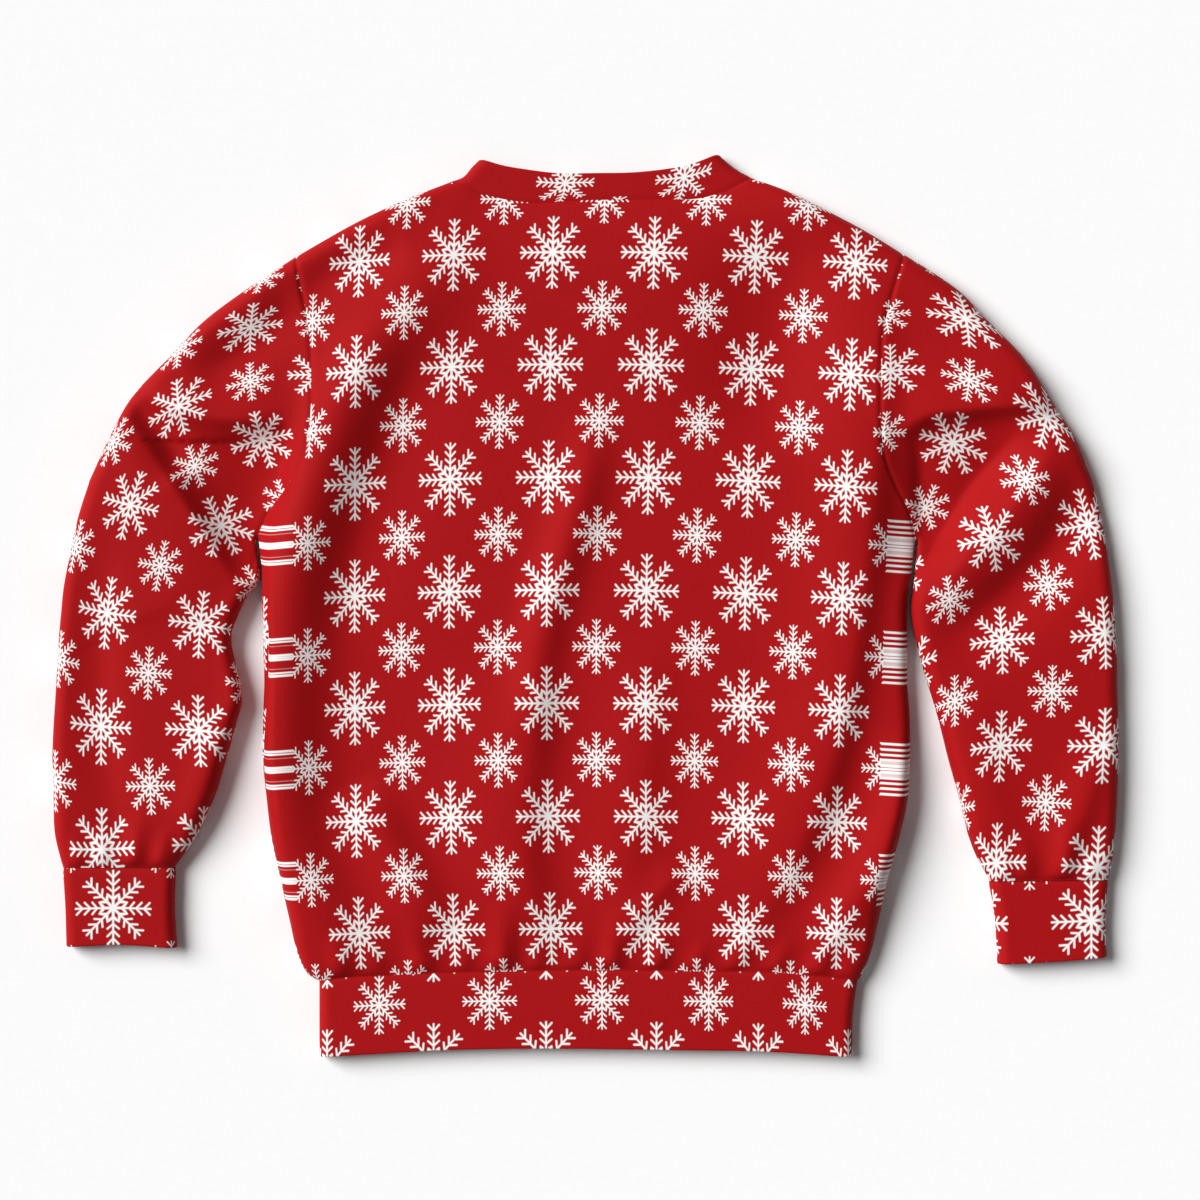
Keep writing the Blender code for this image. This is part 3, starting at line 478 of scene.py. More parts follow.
def put(name, data):
    """A new object with this data, in the scene."""
    thing = bpy.data.objects.new(name, data)
    bpy.context.scene.collection.objects.link(thing)
    return thing


def cloth(name, outer, normals, prints, turn, wall=FLEECE_WALL, closed_from=None, hem=None):
    """A thin piece of cloth: the grid of outer points, the same moved in by the wall, and rims
    that join the two along the open edges. turn is 1 where the grid faces up, with its rows going
    down the picture, and -1 where it faces the other way. From the row closed_from on, the last
    column lies on the first and the grid is a tube. hem names the row, 0 or -1, whose rim is a
    half round fold instead of a cut edge. Its materials are the face's, then the inside's."""
    rows, columns = outer.shape[:2]
    inner = outer - wall * normals
    numbers = np.arange(rows * columns).reshape(rows, columns)
    if closed_from is not None:
        numbers[closed_from:, -1] = numbers[closed_from:, 0]
    if np.allclose(outer[0, 0], outer[0, -1]) and closed_from:
        numbers[0] = numbers[0, 0]
    open_rows = slice(None) if closed_from is None else slice(0, closed_from + 1)
    inside = numbers + rows * columns
    points = [outer.reshape(-1, 3), inner.reshape(-1, 3)]
    parts = [triangles(numbers, prints), triangles(inside[::-1], prints[::-1])]
    rims = [
        (numbers[open_rows, 0][::-1], prints[open_rows, 0][::-1]),
        (numbers[open_rows, -1], prints[open_rows, -1]),
        (numbers[0], prints[0]),
        (numbers[-1][::-1], prints[-1][::-1]),
    ]
    fold = None if hem is None else rims.pop(2 if hem == 0 else 3)
    for rim, places in rims:
        parts.append(triangles(np.stack([rim + rows * columns, rim]), np.stack([places] * 2)))
    if fold is not None:
        outward = unit(outer[hem] - outer[1 if hem == 0 else -2])
        turns = np.linspace(0, np.pi, 7)[1:-1, None, None]
        round_ = np.cos(turns) * normals[hem] + np.sin(turns) * outward
        bend = outer[hem] - wall / 2 * normals[hem] + wall / 2 * round_
        extra = 2 * rows * columns + np.arange(bend[..., 0].size).reshape(bend.shape[:2])
        extra[:, -1] = extra[:, 0]
        ring = np.vstack([inside[hem], extra[::-1], numbers[hem]])
        turned = 1 if hem == 0 else -1
        places = np.broadcast_to(prints[hem], (len(ring), *prints[hem].shape))
        parts.append(triangles(ring[:, ::turned], places[:, ::turned]))
        points.append(bend.reshape(-1, 3))
    faces = np.concatenate([faces for faces, _ in parts])[:, ::turn]
    places = np.concatenate([places for _, places in parts])[:, ::turn]
    finishes = np.concatenate([np.full(len(part[0]), n == 1) for n, part in enumerate(parts)])
    used, faces = np.unique(faces, return_inverse=True)
    faces = faces.reshape(-1, 3)
    mesh = bpy.data.meshes.new(name)
    mesh.from_pydata((np.vstack(points)[used] * TO_METRES).tolist(), [], faces.tolist())
    mesh.uv_layers.new(name="print").data.foreach_set("uv", places.ravel())
    mesh.polygons.foreach_set("material_index", finishes.astype(np.int32))
    mesh.shade_smooth()
    mesh.set_sharp_from_angle(angle=np.radians(50))
    return put(name, mesh)


class Finish:
    """A material as it is put together, on its one Principled shader."""

    def __init__(self, name):
        self.material = bpy.data.materials.new(name)
        self.material.use_nodes = True
        self.tree = self.material.node_tree
        self.shader = self.tree.nodes["Principled BSDF"]

    def node(self, kind, settings=None, inputs=None):
        """A node of this type, with its settings first and then its sockets' values or links."""
        node = self.tree.nodes.new(kind)
        for setting, value in (settings or {}).items():
            setattr(node, setting, value)
        self.fill(node, inputs or {})
        return node

    def fill(self, node, inputs):
        for name, value in inputs.items():
            if isinstance(value, Wire):
                value = value.socket
            if isinstance(value, bpy.types.NodeSocket):
                self.tree.links.new(value, node.inputs[name])
            else:
                node.inputs[name].default_value = value

    def math(self, operation, *values):
        inputs = dict(enumerate(values))
        node = self.node("ShaderNodeMath", {"operation": operation}, inputs)
        return Wire(self, node.outputs[0])

    def mixed(self, share, first, second):
        """One colour turning into another as the share goes from 0 to 1."""
        inputs = {0: share, 6: first, 7: second}
        return self.node("ShaderNodeMix", {"data_type": "RGBA"}, inputs).outputs[2]

    def noise(self, scale, detail):
        """Noise over the piece's own coordinates, which are in metres."""
        spot = self.node("ShaderNodeTexCoord").outputs["Object"]
        inputs = {"Vector": spot, "Scale": scale, "Detail": detail}
        return Wire(self, self.node("ShaderNodeTexNoise", inputs=inputs).outputs[0])

    def dressed(self, strength, distance, height, inputs):
        """The material with this bump and these values on its shader."""
        bump = {"Strength": strength, "Distance": distance, "Height": height}
        inputs["Normal"] = self.node("ShaderNodeBump", inputs=bump).outputs[0]
        self.fill(self.shader, inputs)
        return self.material


class Wire:
    """A number in a material, on which Python's sums add Math nodes."""

    def __init__(self, finish, socket):
        self.finish, self.socket = finish, socket

    def math(self, operation, *others):
        return self.finish.math(operation, self, *others)

    def __add__(self, other):
        return self.math("ADD", other)

    def __sub__(self, other):
        return self.math("SUBTRACT", other)

    def __rsub__(self, other):
        return self.finish.math("SUBTRACT", other, self)

    def __mul__(self, other):
        return self.math("MULTIPLY", other)

    def __truediv__(self, other):
        return self.math("DIVIDE", other)

    def __neg__(self):
        return self * -1.0

    def __abs__(self):
        return self.math("ABSOLUTE")

    __radd__, __rmul__ = __add__, __mul__

    def least(self, other):
        return self.math("MINIMUM", other)

    def most(self, other):
        return self.math("MAXIMUM", other)

    def clipped(self):
        return self.most(0.0).least(1.0)


LARGE, SMALL = 0.320, 0.238  # arm lengths of the two flakes, over the repeat
STROKE = 0.0262  # half a stroke's width, over the arm length, as the rest is
CHEVRONS = ((0.430, 0.557), (0.61, 0.762), (0.82, 0.975))  # where each leaves the arm and ends
CHEVRON_SPREAD = 0.155
PETAL_FOOT, PETAL_TIP = 0.27, (0.363, 0.150)  # the petals between the arms
PETAL_REACH = 0.425
HOLE_MIDDLE, HOLE_LENGTH, HOLE_WIDTH = 0.215, 0.115, 0.050  # the gap in each petal
SOFT_EDGE = 0.025  # over which the ink fades into the cloth
BAR_BLEED = 0.004  # how much wider the ink is in the bars


def ink(finish, column, row, bleed):
    """How much of the print's white is at a place of the repeat. Large flakes lie at its whole
    numbers and small ones halfway. The nearer one's eight arms are folded onto an eighth of a
    circle, halved once more by its mirror line, and there the ink is the least distance to an
    arm, three chevrons and the petals round the middle, each a straight stroke. bleed widens it."""
    large = [place - place.math("ROUND") for place in (column, row)]
    small = [place + 0.5 - (place + 0.5).math("ROUND") for place in (column, row)]
    far_large = (large[0] * large[0] + large[1] * large[1]) / LARGE**2
    far_small = (small[0] * small[0] + small[1] * small[1]) / SMALL**2
    nearer = far_small.math("LESS_THAN", far_large)
    x, y = (
        abs(big / LARGE + nearer * (little / SMALL - big / LARGE))
        for big, little in zip(large, small)
    )
    long, short = x.most(y), x.least(y)
    diagonal = 0.5**0.5
    along = long.most((long + short) * diagonal)
    aside = short.least((long - short) * diagonal)

    def stroke(start, end):
        """The distance to a straight stroke."""
        span = (end[0] - start[0], end[1] - start[1])
        from_x, from_y = along - start[0], aside - start[1]
        size = span[0] ** 2 + span[1] ** 2
        share = ((from_x * span[0] + from_y * span[1]) / size).clipped()
        gap_x, gap_y = from_x - share * span[0], from_y - share * span[1]
        return (gap_x * gap_x + gap_y * gap_y).math("SQRT")

    distance = stroke((0.0, 0.0), (1.0, 0.0))
    for leaves, ends in CHEVRONS:
        distance = distance.least(stroke((leaves, 0.0), (ends, CHEVRON_SPREAD)))
    side = np.subtract(PETAL_TIP, (PETAL_FOOT, 0.0))
    side = side / np.linalg.norm(side)
    outside = (along - PETAL_FOOT) * side[1] - aside * side[0] - STROKE
    radius = (along * along + aside * aside).math("SQRT")
    mirror = np.radians(22.5)
    up = along * np.cos(mirror) + aside * np.sin(mirror)
    off = along * np.sin(mirror) - aside * np.cos(mirror)
    hole = abs(up - HOLE_MIDDLE) * (HOLE_WIDTH / HOLE_LENGTH) + off - HOLE_WIDTH
    petal = outside.most(radius - PETAL_REACH).most(-hole)
    distance = (distance - STROKE).least(petal)
    return (0.5 + (bleed - distance) / SOFT_EDGE).clipped()


RED, RED_WORN = (0.374, 0.0040, 0.0055, 1.0), (0.347, 0.0032, 0.0044, 1.0)
WHITE = (0.885, 0.868, 0.845, 1.0)
REPEAT = (78.8, 90.0)  # the size of the print's repeat on the body
STITCH = (1.25, 1.0)  # width and height of one knitted stitch


def printed(name, bars=None, ribs=0.0, repeat=REPEAT):
    """The printed face of the cloth: red with white flakes, in fine knitting that shows as rows
    of small V shapes, or as upright ribs on the bands. bars are the columns of the repeat past
    which the print is drawn out."""
    finish = Finish(name)
    place = finish.node("ShaderNodeUVMap", {"uv_map": "print"})
    split = finish.node("ShaderNodeSeparateXYZ", inputs={0: place.outputs[0]})
    column, row = (Wire(finish, socket) for socket in split.outputs[:2])
    across, up = column * repeat[0], row * repeat[1]
    bleed = 0.0
    if bars:
        held = column.most(bars[0]).least(bars[1])
        bleed = abs(held - column).math("GREATER_THAN", 0.0) * BAR_BLEED
        column = held
    mottle, fibres = finish.noise(38.0, 3.0), finish.noise(900.0, 2.0)
    dye = finish.mixed((mottle * 0.6 + fibres * 0.4).clipped(), RED, RED_WORN)
    wale = (across / STITCH[0]).math("FRACT")
    slant = abs(wale - 0.5) * 2.0
    loop = abs((up / STITCH[1] + slant * 0.9).math("FRACT") - 0.5)
    relief = loop * 0.5 + slant * 0.5 + fibres * 0.8
    if ribs:
        rib = abs((across / RIB_WIDTH).math("FRACT") - 0.5)
        relief = relief + rib * ribs
    return finish.dressed(0.35, 0.00012, relief, {
        "Base Color": finish.mixed(ink(finish, column, row, bleed), dye, WHITE),
        "Roughness": 0.72,
        "Specular IOR Level": 0.1,
        "Sheen Weight": 0.04,
        "Sheen Roughness": 0.4,
        "Sheen Tint": (1.0, 0.45, 0.5, 1.0),
    })


def brushed(name):
    """The inside of the fleece: off-white, raised into a soft matted nap."""
    finish = Finish(name)
    nap = finish.noise(260.0, 5.0)
    return finish.dressed(0.8, 0.0009, nap, {
        "Base Color": finish.mixed(nap, (0.60, 0.56, 0.54, 1.0), (0.84, 0.81, 0.79, 1.0)),
        "Roughness": 0.95,
        "Specular IOR Level": 0.15,
        "Sheen Weight": 0.4,
    })


ARMHOLE_LENGTH = length_of(smooth(ARMHOLE_LEFT))
SIDE_LENGTH = length_of(smooth(SIDE_LEFT))
TOP_INSETS = insets(90 * ROLL_TURNS, TOP_ROLL * BODY_RISE)
ARMHOLE_SHARES = spread(TOP_INSETS, ARMPIT_INSETS, ARMHOLE_LENGTH, ARMHOLE_ROWS)
SIDE_SHARES = spread(ARMPIT_INSETS, SEAM_INSETS, SIDE_LENGTH, SIDE_ROWS)
AT_ARMPIT = ARMHOLE_LENGTH / (ARMHOLE_LENGTH + SIDE_LENGTH)
ARMPIT_ROW = len(ARMHOLE_SHARES) - 1


def roll_insets(angles):
    """Insets from a folded edge for angles from straight down, -90, to straight up, 90."""
    over = insets(angles, TOP_ROLL * BODY_RISE)
    below = insets(angles, UNDER_ROLL * EDGE_SHARE * BODY_RISE)
    return np.where(angles > 0, over, below)


def panel_row(width, neck, columns, seam_angle, upright):
    """Shares across a panel: round the left roll from the side seam on, evenly to the neck's
    start, its end and the right roll, and round that."""
    left = roll_insets(seam_angle + ROLL_TURNS * (upright * 90 - seam_angle)) / width
    right = 1 - roll_insets(upright * 90 * ROLL_TURNS)[::-1] / width
    beside = int(columns * neck[0])
    stops = (left[-1], neck[0], neck[1], right[0])
    counts = (beside, columns - 2 * beside, beside)
    middle = [np.linspace(a, b, count + 2)[1:] for a, b, count in zip(stops, stops[1:], counts)]
    return np.concatenate([left, middle[0], middle[1], middle[2], right[1:]])


def neck_ends(neck_points):
    """Where along a panel's upper edge its neck starts and ends, measured across."""
    first, last = SHOULDER_LEFT[0][0], SHOULDER_RIGHT[-1][0]
    return [(neck_points[end][0] - first) / (last - first) for end in (0, -1)]


def neck_columns(neck_points, columns, upright):
    """Which of a panel's columns end at the neck, and where along the neck seam."""
    start, end = neck_ends(neck_points)
    width = SHOULDER_RIGHT[-1][0] - SHOULDER_LEFT[0][0]
    first = panel_row(width, (start, end), columns, 0.0, upright)
    near = 1e-9
    on_neck = (first > start - near) & (first < end + near)
    return on_neck, (first[on_neck] - start) / (end - start)


def panel(neck_points, columns, upright):
    """The plan points, the outer surface and its normals of the back, upright 1, or of the front,
    -1, which lies on the table: rows down from the shoulders and the neck to the hem seam."""
    down = AT_ARMPIT + SIDE_SHARES[1:] * (1 - AT_ARMPIT)
    down = np.concatenate([ARMHOLE_SHARES * AT_ARMPIT, down])
    left = spliced([smooth(ARMHOLE_LEFT), smooth(SIDE_LEFT)], (0, AT_ARMPIT, 1))
    right = spliced([smooth(ARMHOLE_RIGHT), smooth(SIDE_RIGHT)], (0, AT_ARMPIT, 1))
    neck = neck_ends(neck_points)
    edges = [smooth(SHOULDER_LEFT), smooth(neck_points), smooth(SHOULDER_RIGHT)]
    top = spliced(edges, (0, *neck, 1))
    widths = right(down)[:, 0] - left(down)[:, 0]
    angles = np.interp(left(down)[:, 1], *np.transpose(LEFT_SEAM))
    across = np.array([panel_row(w, neck, columns, a, upright) for w, a in zip(widths, angles)])
    down = np.broadcast_to(down[:, None], across.shape)
    plan = patch(top, by_length(HEM_SEAM_LINE), left, right, across, down)

    at_side = np.zeros(across.shape, bool)
    at_side[ARMPIT_ROW:, [0, -1]] = True
    at_side[0] = (across[0] <= neck[0]) | (across[0] >= neck[1])
    on_fold = at_side.copy()
    on_fold[angles > 0, 0] = False
    turns = angles[:, None] + ROLL_TURNS * (-90 - angles[:, None])
    on_top = np.full(across.shape, upright > 0)
    on_top[ARMPIT_ROW:, :ROLL_LINES] |= turns[ARMPIT_ROW:] > 0
    outer = lifted(plan, on_top, on_fold)
    outer[at_side, 2] += upright * SEAM_GAP / 2

    normals = normals_of(outer) * upright
    normals[on_fold, 2] = 0
    over = np.radians(angles)
    roll = np.stack([-(1 - EDGE_SHARE) * np.cos(over), 0 * over, TOP_ROLL * np.sin(over)], axis=-1)
    normals[angles > 0, 0] = roll[angles > 0]
    on_neck = neck_columns(neck_points, columns, upright)[0]
    armhole = slice(ARMPIT_ROW + 1)
    for seam in ((0, on_neck), (armhole, 0), (armhole, -1), (-1,)):
        normals[seam] = seam_normals(normals[seam], plan[seam])
    normals = unit(normals)
    outer = sewn(
        outer, normals, ((0, 0, "neck"), (0, -1, "band"), (1, 0, "side"), (1, -1, "side"))
    )
    return plan, outer, normals


def round_print(places, outer):
    """A panel's print carried round the rolls at its two sides and at its shoulders."""
    rows, columns = places.shape[:2]
    places = carried(places, outer, ROLL_LINES, columns - 1 - ROLL_LINES, axis=1)
    return carried(places, outer, ROLL_LINES, rows - 1, axis=0)


def lay(piece, node, materials):
    for material in materials:
        piece.data.materials.append(material)
    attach(piece, "root")
    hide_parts(node)


chart = [(u, v, x, y) for v, xs, ys in BACK_PRINT for u, (x, y) in enumerate(zip(xs, ys))]
plan, outer, normals = panel(NECK_SEAM_BACK, BACK_COLUMNS, upright=1)
prints = round_print(charted(plan, chart), outer)
back = cloth("back_panel", outer, normals, prints, turn=1)
materials = printed("back_print", bars=BARS), brushed("back_nap")
lay(back, "back", materials)

# ---- Front panel -------------------------------------------------------------------------------
# The wearer's front, cut from the same fleece with a deeper neck. It lies face down on the table,
# and on the left it comes up round the edge, so that its side seam shows from above.
FRONT_COLUMNS = 84
NECK_SEAM_FRONT = [(-111, 339), (-99, 312), (-69, 278), (-29, 258), (11, 252), (51, 258),
                   (91, 278), (122, 314), (133, 343)]
FRONT_PRINT = [(0, 0, -169, 250), (5, 0, 225, 250), (0, 6, -169, -290), (5, 6, 225, -290)]

plan, outer, normals = panel(NECK_SEAM_FRONT, FRONT_COLUMNS, upright=-1)
prints = round_print(charted(plan, FRONT_PRINT, degree=1), outer)
front = cloth("front_panel", outer, normals, prints, turn=-1)
materials = printed("front_print"), brushed("front_nap")
lay(front, "front", materials)

# ---- Sleeves -----------------------------------------------------------------------------------
# Two long set-in sleeves of the same fleece, each one cut folded lengthwise and closed by a seam
# under the arm, laid down beside the body. Their rows fan out from the shoulder point as far as
# the armpit, and past it they are rings. Each is eased into its armhole and into its cuff.
SLEEVE_COLUMNS, UNDERARM_COLUMNS, ARM_ROWS = 42, 18, 92
FADING_ROWS = 12  # up from the armpit, over which the print's lengthening at the seam dies out
CURL_ANGLES = np.linspace(0, 90, 6)
NARROWEST = 3.0  # sleeve width over the rise, below which the closer columns shrink with it
# Where the print's flakes lie on each sleeve: column of the repeat, its first row, then x and y of
# the flakes from that row on
PRINT_LEFT = [
    (0, 0, (-266, -326, -362, -382, -389, -385), (222, 158, 80, -6, -98, -194)),
    (1, 0, (-214, -262, -290, -309, -306, -301), (183, 132, 65, -14, -101, -192)),
    (0.5, 0.5, (-268, -312, -338, -350, -350), (178, 110, 31, -54, -146)),
]
PRINT_RIGHT = [
    (0, 0, (307, 367, 402, 413, 414, 406), (227, 150, 65, -23, -114, -206)),
    (1, 0, (235, 294, 322, 330, 329, 328), (184, 129, 54, -29, -114, -206)),
    (0.5, -0.5, (243, 304, 349, 370, 374, 370), (231, 177, 102, 18, -70, -160)),
    (1.5, 0.5, (244, 277, 286), (137, 80, 8)),
    (-0.13, -0.6, (257,), (266,)),
]
ARM_SHARES = spread(ARMPIT_INSETS, SEAM_INSETS, length_of(INNER_LEFT), ARM_ROWS)


def tube_row(width, rise, over_count, under_count):
    """Shares round a flattened tube: over the top from its first fold to its second one, and back
    below."""
    over = insets(90 * ROLL_TURNS, TOP_ROLL * rise)
    under = insets(CURL_ANGLES, UNDER_ROLL * EDGE_SHARE * rise)
    upper = spread(over, over, width, over_count)
    lower = spread(under, under, width, under_count)[::-1]
    return np.concatenate([upper, lower[1:]])


def layers_of(over_count, columns):
    """The column of a tube's second fold, and which columns are on its upper layer."""
    fold = 2 * ROLL_LINES + over_count - 1
    return fold, np.arange(columns) <= fold


def close_rings(normals):
    """Gives the two ends of each ring, which meet on a fold, the same level normal."""
    normals[:, 0] += normals[:, -1]
    normals[:, 0, 2] = 0
    normals[:, -1] = normals[:, 0]


def round_seam(normals, plan, fold):
    """Seam normals for a row round a folded tube, whose two layers meet at the column fold."""
    for layer in (slice(fold, None), slice(0, fold + 1)):
        normals[layer] = seam_normals(normals[layer], plan[layer])
    normals[-1] = normals[0]


def sleeve(name, node, armhole, overarm, sections, turn, chart):
    """A sleeve as rows from the body's side out over its top and back below. turn is 1 or -1 for
    the sleeve at the right or at the left of the picture."""
    outer_edge, inner_edge = section_edges(sections)
    seam = by_length(smooth(armhole))(ARMHOLE_SHARES)
    slopes = tangents(seam, 0)
    seam = seam + turn * SEAM_GAP * np.stack([-slopes[:, 1], slopes[:, 0]], axis=-1)
    inner = joined(seam, by_length(inner_edge)(ARM_SHARES))
    outer = joined(by_length(smooth(overarm))(ARMHOLE_SHARES), by_length(outer_edge)(ARM_SHARES))
    outer[0] = inner[0]
    widths = np.maximum(np.linalg.norm(outer - inner, axis=1), NARROWEST * BODY_RISE)
    across = [tube_row(width, BODY_RISE, SLEEVE_COLUMNS, UNDERARM_COLUMNS) for width in widths]
    across = np.array(across)
    plan = inner[:, None] + across[..., None] * (outer - inner)[:, None]

    fold, on_top = layers_of(SLEEVE_COLUMNS, across.shape[1])
    on_fold = np.zeros(across.shape, bool)
    on_fold[:, fold] = on_fold[0] = True
    on_fold[ARMPIT_ROW:, [0, -1]] = True
    surface = lifted(plan, on_top, on_fold)
    normals = np.zeros(surface.shape)
    normals[1:] = unit(np.cross(tangents(surface, 0)[1:], tangents(surface[1:], 1))) * turn
    normals[:, fold, 2] = 0
    narrow = np.linalg.norm(outer - inner, axis=1) < 2 * FLEECE_WALL
    for row in np.flatnonzero(narrow)[1:]:
        normals[row] = without_part(normals[row], slopes[row])
    close_rings(normals[ARMPIT_ROW:])
    for edge in (0, -1):
        seam_part = (slice(1, ARMPIT_ROW + 1), edge)
        normals[seam_part] = seam_normals(normals[seam_part], plan[seam_part])
    normals[0] = [*-slopes[0], 0]
    round_seam(normals[-1], plan[-1], fold)
    normals = unit(normals)
    surface = sewn(surface, normals, ((0, -1, "band"), (1, 0, "side"), (1, -1, "side")))
    chart = [(u, v + n, x, y) for u, v, xs, ys in chart for n, (x, y) in enumerate(zip(xs, ys))]
    places = charted(plan, chart)
    prints = carried(places, surface, ROLL_LINES, fold - ROLL_LINES, axis=1)
    on_seam = np.clip((ARMPIT_ROW - np.arange(ARMPIT_ROW)) / FADING_ROWS, 0, 1)[:, None, None]
    beside = (slice(0, ARMPIT_ROW), slice(0, ROLL_LINES))
    prints[beside] += on_seam * (places[beside] - prints[beside])
    piece = cloth(name, surface, normals, prints, turn, closed_from=ARMPIT_ROW)
    materials = printed(name + "_print"), brushed(name + "_nap")
    lay(piece, node, materials)


sleeve("left_sleeve", "sleeve_left", ARMHOLE_LEFT, OVERARM_LEFT, SLEEVE_LEFT, -1, PRINT_LEFT)
sleeve(
    "right_sleeve", "sleeve_right", ARMHOLE_RIGHT, OVERARM_RIGHT, SLEEVE_RIGHT, 1, PRINT_RIGHT
)

# ---- Hem band ----------------------------------------------------------------------------------
# A deep band of fine rib knit, folded double with its fold at the free edge and sewn on a little
# stretched, so that the body's cloth is gathered above it. It is printed with the same flakes,
# slightly larger.
RIB_WALL = 2.6
RIB_WIDTH = 2.4
HEM_COLUMNS, HEM_UNDER_COLUMNS, BAND_ROWS = 120, 60, 14
HEM_DEPTH = 63.0
END_INSETS = (0, 0.7, 1.6, 3, 5, 8)  # the closer rows at the free edge
HEM_END = [(-214, -362), (-165, -359), (-109, -356), (-29, -355), (59, -356), (155, -358),
           (214, -362)]
# Where the flakes lie on it: column of the repeat, x, and how far below the seam the small ones do
HEM_PRINT = [(0, -208), (0.5, -165), (1, -120), (1.5, -77), (2, -32), (2.5, 12), (3, 54),
             (3.5, 98), (4, 138), (4.5, 181), (5, 206)]
HEM_SMALL, HEM_REPEAT = 23.7, (87.0, 97.0)


def ring_normals(surface, plan, fold):
    """The normals of a folded ring whose second fold is the column fold."""
    normals = normals_of(surface)
    normals[:, fold, 2] = 0
    close_rings(normals)
    round_seam(normals[0], plan[0], fold)
    round_seam(normals[-1], plan[-1], fold)
    return unit(normals)


def band(edges, depth, counts):
    """The plan points, the outer surface and its normals of the hem band or a cuff, between its
    top, bottom, left and right edges, and the column of its second fold."""
    top, bottom, left, right = edges
    down = spread(SEAM_INSETS[:-2], END_INSETS, depth, BAND_ROWS)
    down = down * (1 - RIB_WALL / 2 / depth)
    widths = np.linalg.norm(right(down) - left(down), axis=1)
    across = np.array([tube_row(width, BAND_RISE, *counts) for width in widths])
    down = np.broadcast_to(down[:, None], across.shape)
    plan = patch(top, bottom, left, right, across, down)
    fold, on_top = layers_of(counts[0], across.shape[1])
    on_fold = np.isin(np.arange(across.shape[1]), (0, fold, across.shape[1] - 1))
    surface = lifted(plan, on_top, np.broadcast_to(on_fold, across.shape), BAND_RISE)
    normals = ring_normals(surface, plan, fold)
    return plan, down * depth, sewn(surface, normals, ((0, 0, "band"),)), normals, fold


def lay_rib(name, node, outer, normals, prints, hem, ribs, repeat):
    """Makes a doubled ring of rib from its surface and its print's columns and rows. hem is the
    row at its free edge, 0 or -1, and ribs how much the ribs stand out."""
    piece = cloth(name, outer, normals, prints, 1, wall=RIB_WALL, closed_from=0, hem=hem)
    start = name.removesuffix("_rib")
    materials = [printed(start + side, ribs=ribs, repeat=repeat) for side in ("_face", "_inside")]
    lay(piece, node, materials)


seam = HEM_SEAM_LINE - [0, SEAM_GAP]
left, right = smooth(HEM_SIDE_LEFT), smooth(HEM_SIDE_RIGHT)
seam = seam[(seam[:, 0] > left[0, 0]) & (seam[:, 0] < right[0, 0])]
seam = np.vstack([left[:1], seam])
edges = [by_length(edge) for edge in (seam, smooth(HEM_END), left, right)]
plan, below, outer, normals, fold = band(edges, HEM_DEPTH, (HEM_COLUMNS, HEM_UNDER_COLUMNS))
columns_at = np.polyfit(*np.transpose([(x / CHART_SIZE, u) for u, x in HEM_PRINT]), 3)
prints = [np.polyval(columns_at, plan[..., 0] / CHART_SIZE),
          0.5 + (below - HEM_SMALL) / HEM_REPEAT[1]]
prints = carried(np.stack(prints, axis=-1), outer, ROLL_LINES, fold - ROLL_LINES, axis=1)
lay_rib("hem_rib", "hem_band", outer, normals, prints, hem=-1, ribs=0.8, repeat=HEM_REPEAT)

# ---- Cuffs -------------------------------------------------------------------------------------
# Two cuffs of the same doubled rib, each a short tube laid flat and sewn to the gathered end of
# its sleeve, printed with one large flake and the cut tips of its neighbours.
CUFF_COLUMNS, CUFF_UNDER_COLUMNS = 24, 14
CUFF_END_LEFT = [(-417, -274), (-373, -272), (-328, -275)]
CUFF_END_RIGHT = [(330, -288), (384, -285), (418, -282)]


def cuff(name, node, sections, end, depth, flake, repeat):
    """A cuff whose large flake is at x and that far below the seam."""
    left, right = section_edges(sections)
    if left[0, 0] > right[0, 0]:
        left, right = right, left
    edges = [np.array([left[0], right[0]]), smooth(end), left, right]
    plan, below, outer, normals, fold = band(
        [by_length(edge) for edge in edges], depth, (CUFF_COLUMNS, CUFF_UNDER_COLUMNS)
    )
    prints = np.stack([(plan[..., 0] - flake[0]) / repeat[0], (below - flake[1]) / repeat[1]], -1)
    prints = carried(prints, outer, ROLL_LINES, fold - ROLL_LINES, axis=1)
    lay_rib(name, node, outer, normals, prints, hem=-1, ribs=0.8, repeat=repeat)


cuff("left_cuff", "cuff_left", CUFF_LEFT, CUFF_END_LEFT, 63.0, (-378, 32.5), (93.5, 95.0))
cuff("right_cuff", "cuff_right", CUFF_RIGHT, CUFF_END_RIGHT, 64.0, (404, 32.5), (98.7, 100.0))

# ---- Neckband ----------------------------------------------------------------------------------
# A narrow ring of the same doubled rib, sewn into the neck a little stretched, so that it stands
# in round it. Its folded edge is the free one. The back of it lies over the front.
NECK_GAP = 0.15  # between the neckband and the panels, where the seam turns
NECK_ROWS = 8
NECK_DEPTH = 25.0
NECK_EDGE_BACK = [(-85, 358), (-69, 353), (-46, 349), (-21, 346), (6, 346), (43, 347),
                  (60, 349), (82, 353), (106, 362)]
NECK_EDGE_FRONT = [(-85, 358), (-77, 332), (-53, 302), (-21, 282), (11, 276), (43, 282),
                   (75, 303), (98, 334), (106, 362)]
NECK_FLAKE, NECK_REPEAT = (-22.0, 17.6), (95.0, 77.6)  # a small one's x and height over the seam
# The column of the repeat stands still at both ears, where there is no flake: along, column
NECK_PLAIN = [(-95, -28.5, 124, 190, 440, 495), (0.2, 0.2, 1.8, 1.8, 4.2, 4.2)]


def across_seam(line):
    """Unit directions from a neck seam towards the neckband."""
    slopes = tangents(line, 0)
    return np.stack([-slopes[:, 1], slopes[:, 0]], axis=-1)


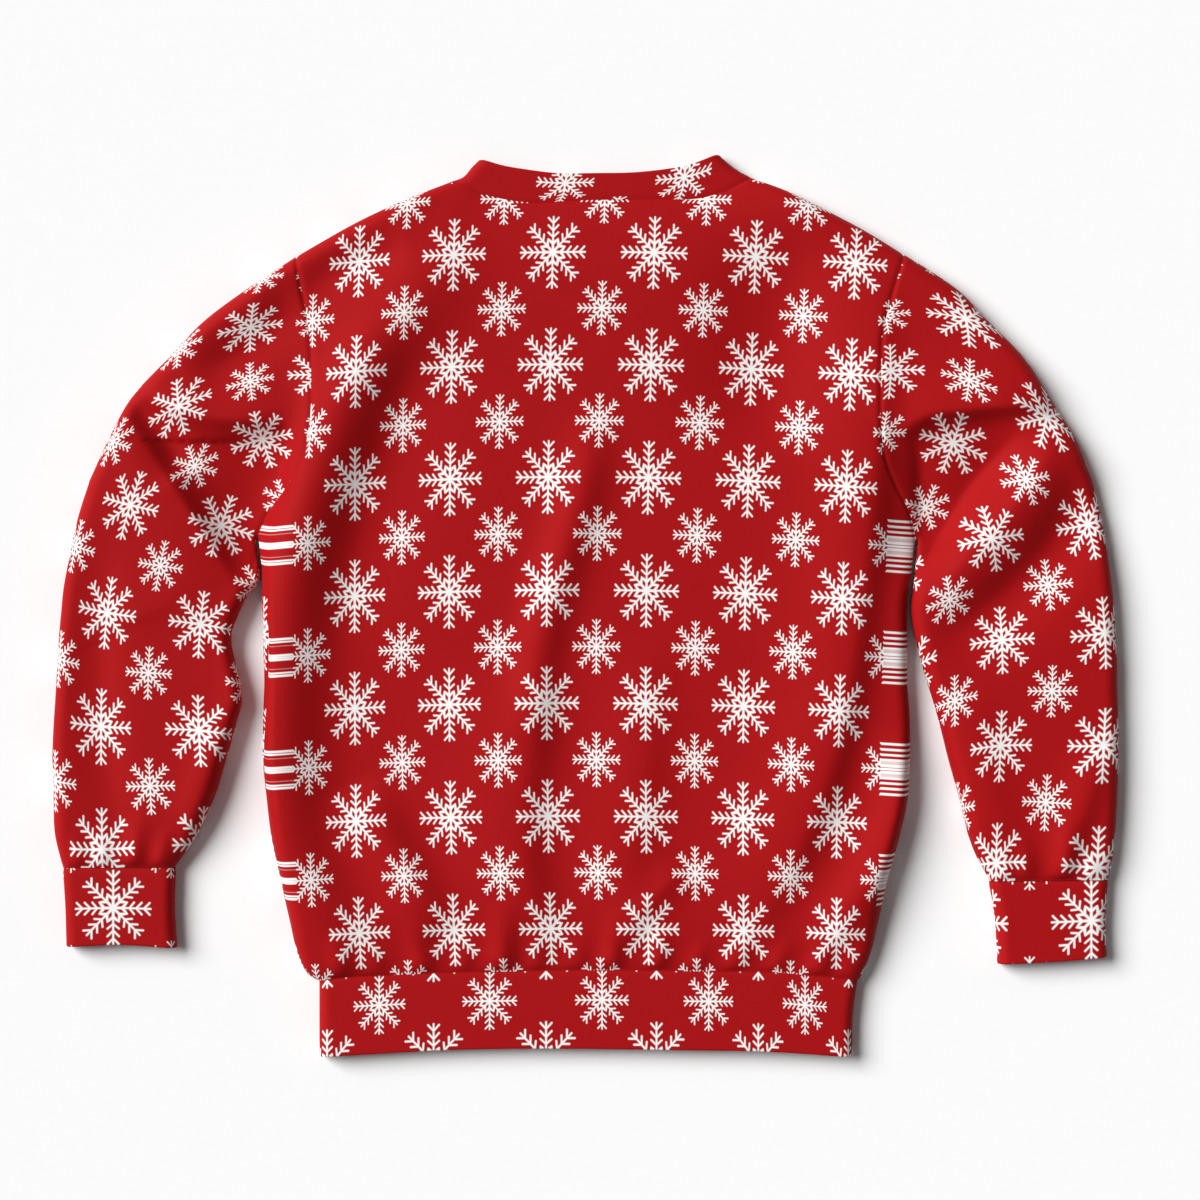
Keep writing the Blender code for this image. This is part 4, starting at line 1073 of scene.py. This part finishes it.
down = 1 - spread(SEAM_INSETS[:-3], END_INSETS[:-1], NECK_DEPTH, NECK_ROWS)[::-1, None]
down = RIB_WALL / 2 / NECK_DEPTH + down * (1 - RIB_WALL / 2 / NECK_DEPTH)
ears = [by_length(smooth(ear)[::-1]) for ear in (EAR_LEFT, EAR_RIGHT)]
halves, shifts = [], []
for neck_seam, edge, columns, upright in (
    (NECK_SEAM_BACK, NECK_EDGE_BACK, BACK_COLUMNS, 1),
    (NECK_SEAM_FRONT, NECK_EDGE_FRONT, FRONT_COLUMNS, -1),
):
    across = neck_columns(neck_seam, columns, upright)[1]
    across, rows = np.broadcast_arrays(across, down)
    halves.append(patch(by_length(smooth(edge)), by_length(smooth(neck_seam)), *ears, across, rows))
    shifts.append(across_seam(halves[-1][-1]))
for end in (0, -1):
    mitre = (shifts[0][end] + shifts[1][end]) / (1 + shifts[0][end] @ shifts[1][end])
    shifts[0][end] = shifts[1][end] = mitre
for half, shift in zip(halves, shifts):
    half += NECK_GAP * shift * down[..., None]
plan = np.concatenate([halves[0], halves[1][:, -2::-1]], axis=1)
fold = halves[0].shape[1] - 1
columns = np.arange(plan.shape[1])
on_fold = np.broadcast_to(np.isin(columns, (0, fold, columns[-1])), plan.shape[:2])
outer = lifted(plan, columns <= fold, on_fold, NECK_RISE)
normals = ring_normals(outer, plan, fold)
outer = sewn(outer, normals, ((0, -1, "neck"),))
along = run_of(outer, 1)
along = along - along[:, [np.abs(plan[-1, : fold + 1, 0] - NECK_FLAKE[0]).argmin()]]
along[:, fold + 1 :] = along[len(along) // 2, fold + 1 :]  # the front's flakes stand straight
over_seam = np.broadcast_to((1 - down) * NECK_DEPTH, along.shape)
prints = [np.interp(along, *NECK_PLAIN), 0.5 + (NECK_FLAKE[1] - over_seam) / NECK_REPEAT[1]]
lay_rib("neck_rib", "neckband", outer, normals, np.stack(prints, axis=-1), hem=0, ribs=1.2,
        repeat=NECK_REPEAT)

# ---- Table, light and camera -------------------------------------------------------------------
# A plain white table under a broad soft light from the upper left and an even white sky, seen
# from straight above.
TABLE_SIZE, TABLE_DROP = 12.0, 0.0003
SUN_TURN = np.radians((50, 0, 244))  # down from straight above, then towards the lower right
CAMERA_PLACE = (0.0112, 0.004, 2.682)

half = TABLE_SIZE / 2
mesh = bpy.data.meshes.new("table")
corners = [(-half, -half), (half, -half), (half, half), (-half, half)]
mesh.from_pydata([(x, y, -TABLE_DROP) for x, y in corners], [], [(0, 1, 2, 3)])
surface = Finish("table_top")
surface.fill(surface.shader, {"Base Color": (0.92, 0.92, 0.92, 1.0), "Roughness": 0.9,
                              "Specular IOR Level": 0.1})
mesh.materials.append(surface.material)
put("table", mesh)

sun = bpy.data.lights.new("window", "SUN")
sun.energy = 4.46
sun.angle = np.radians(38)
put("window", sun).rotation_euler = SUN_TURN

world = bpy.data.worlds.new("room")
world.use_nodes = True
world.node_tree.nodes["Background"].inputs["Color"].default_value = (1.0, 1.0, 1.0, 1.0)
world.node_tree.nodes["Background"].inputs["Strength"].default_value = 0.14
bpy.context.scene.world = world
bpy.context.scene.view_settings.view_transform = "Standard"

camera = bpy.data.cameras.new("camera")
camera.lens = 100.0
camera_at = put("camera", camera)
camera_at.location = CAMERA_PLACE
bpy.context.scene.camera = camera_at
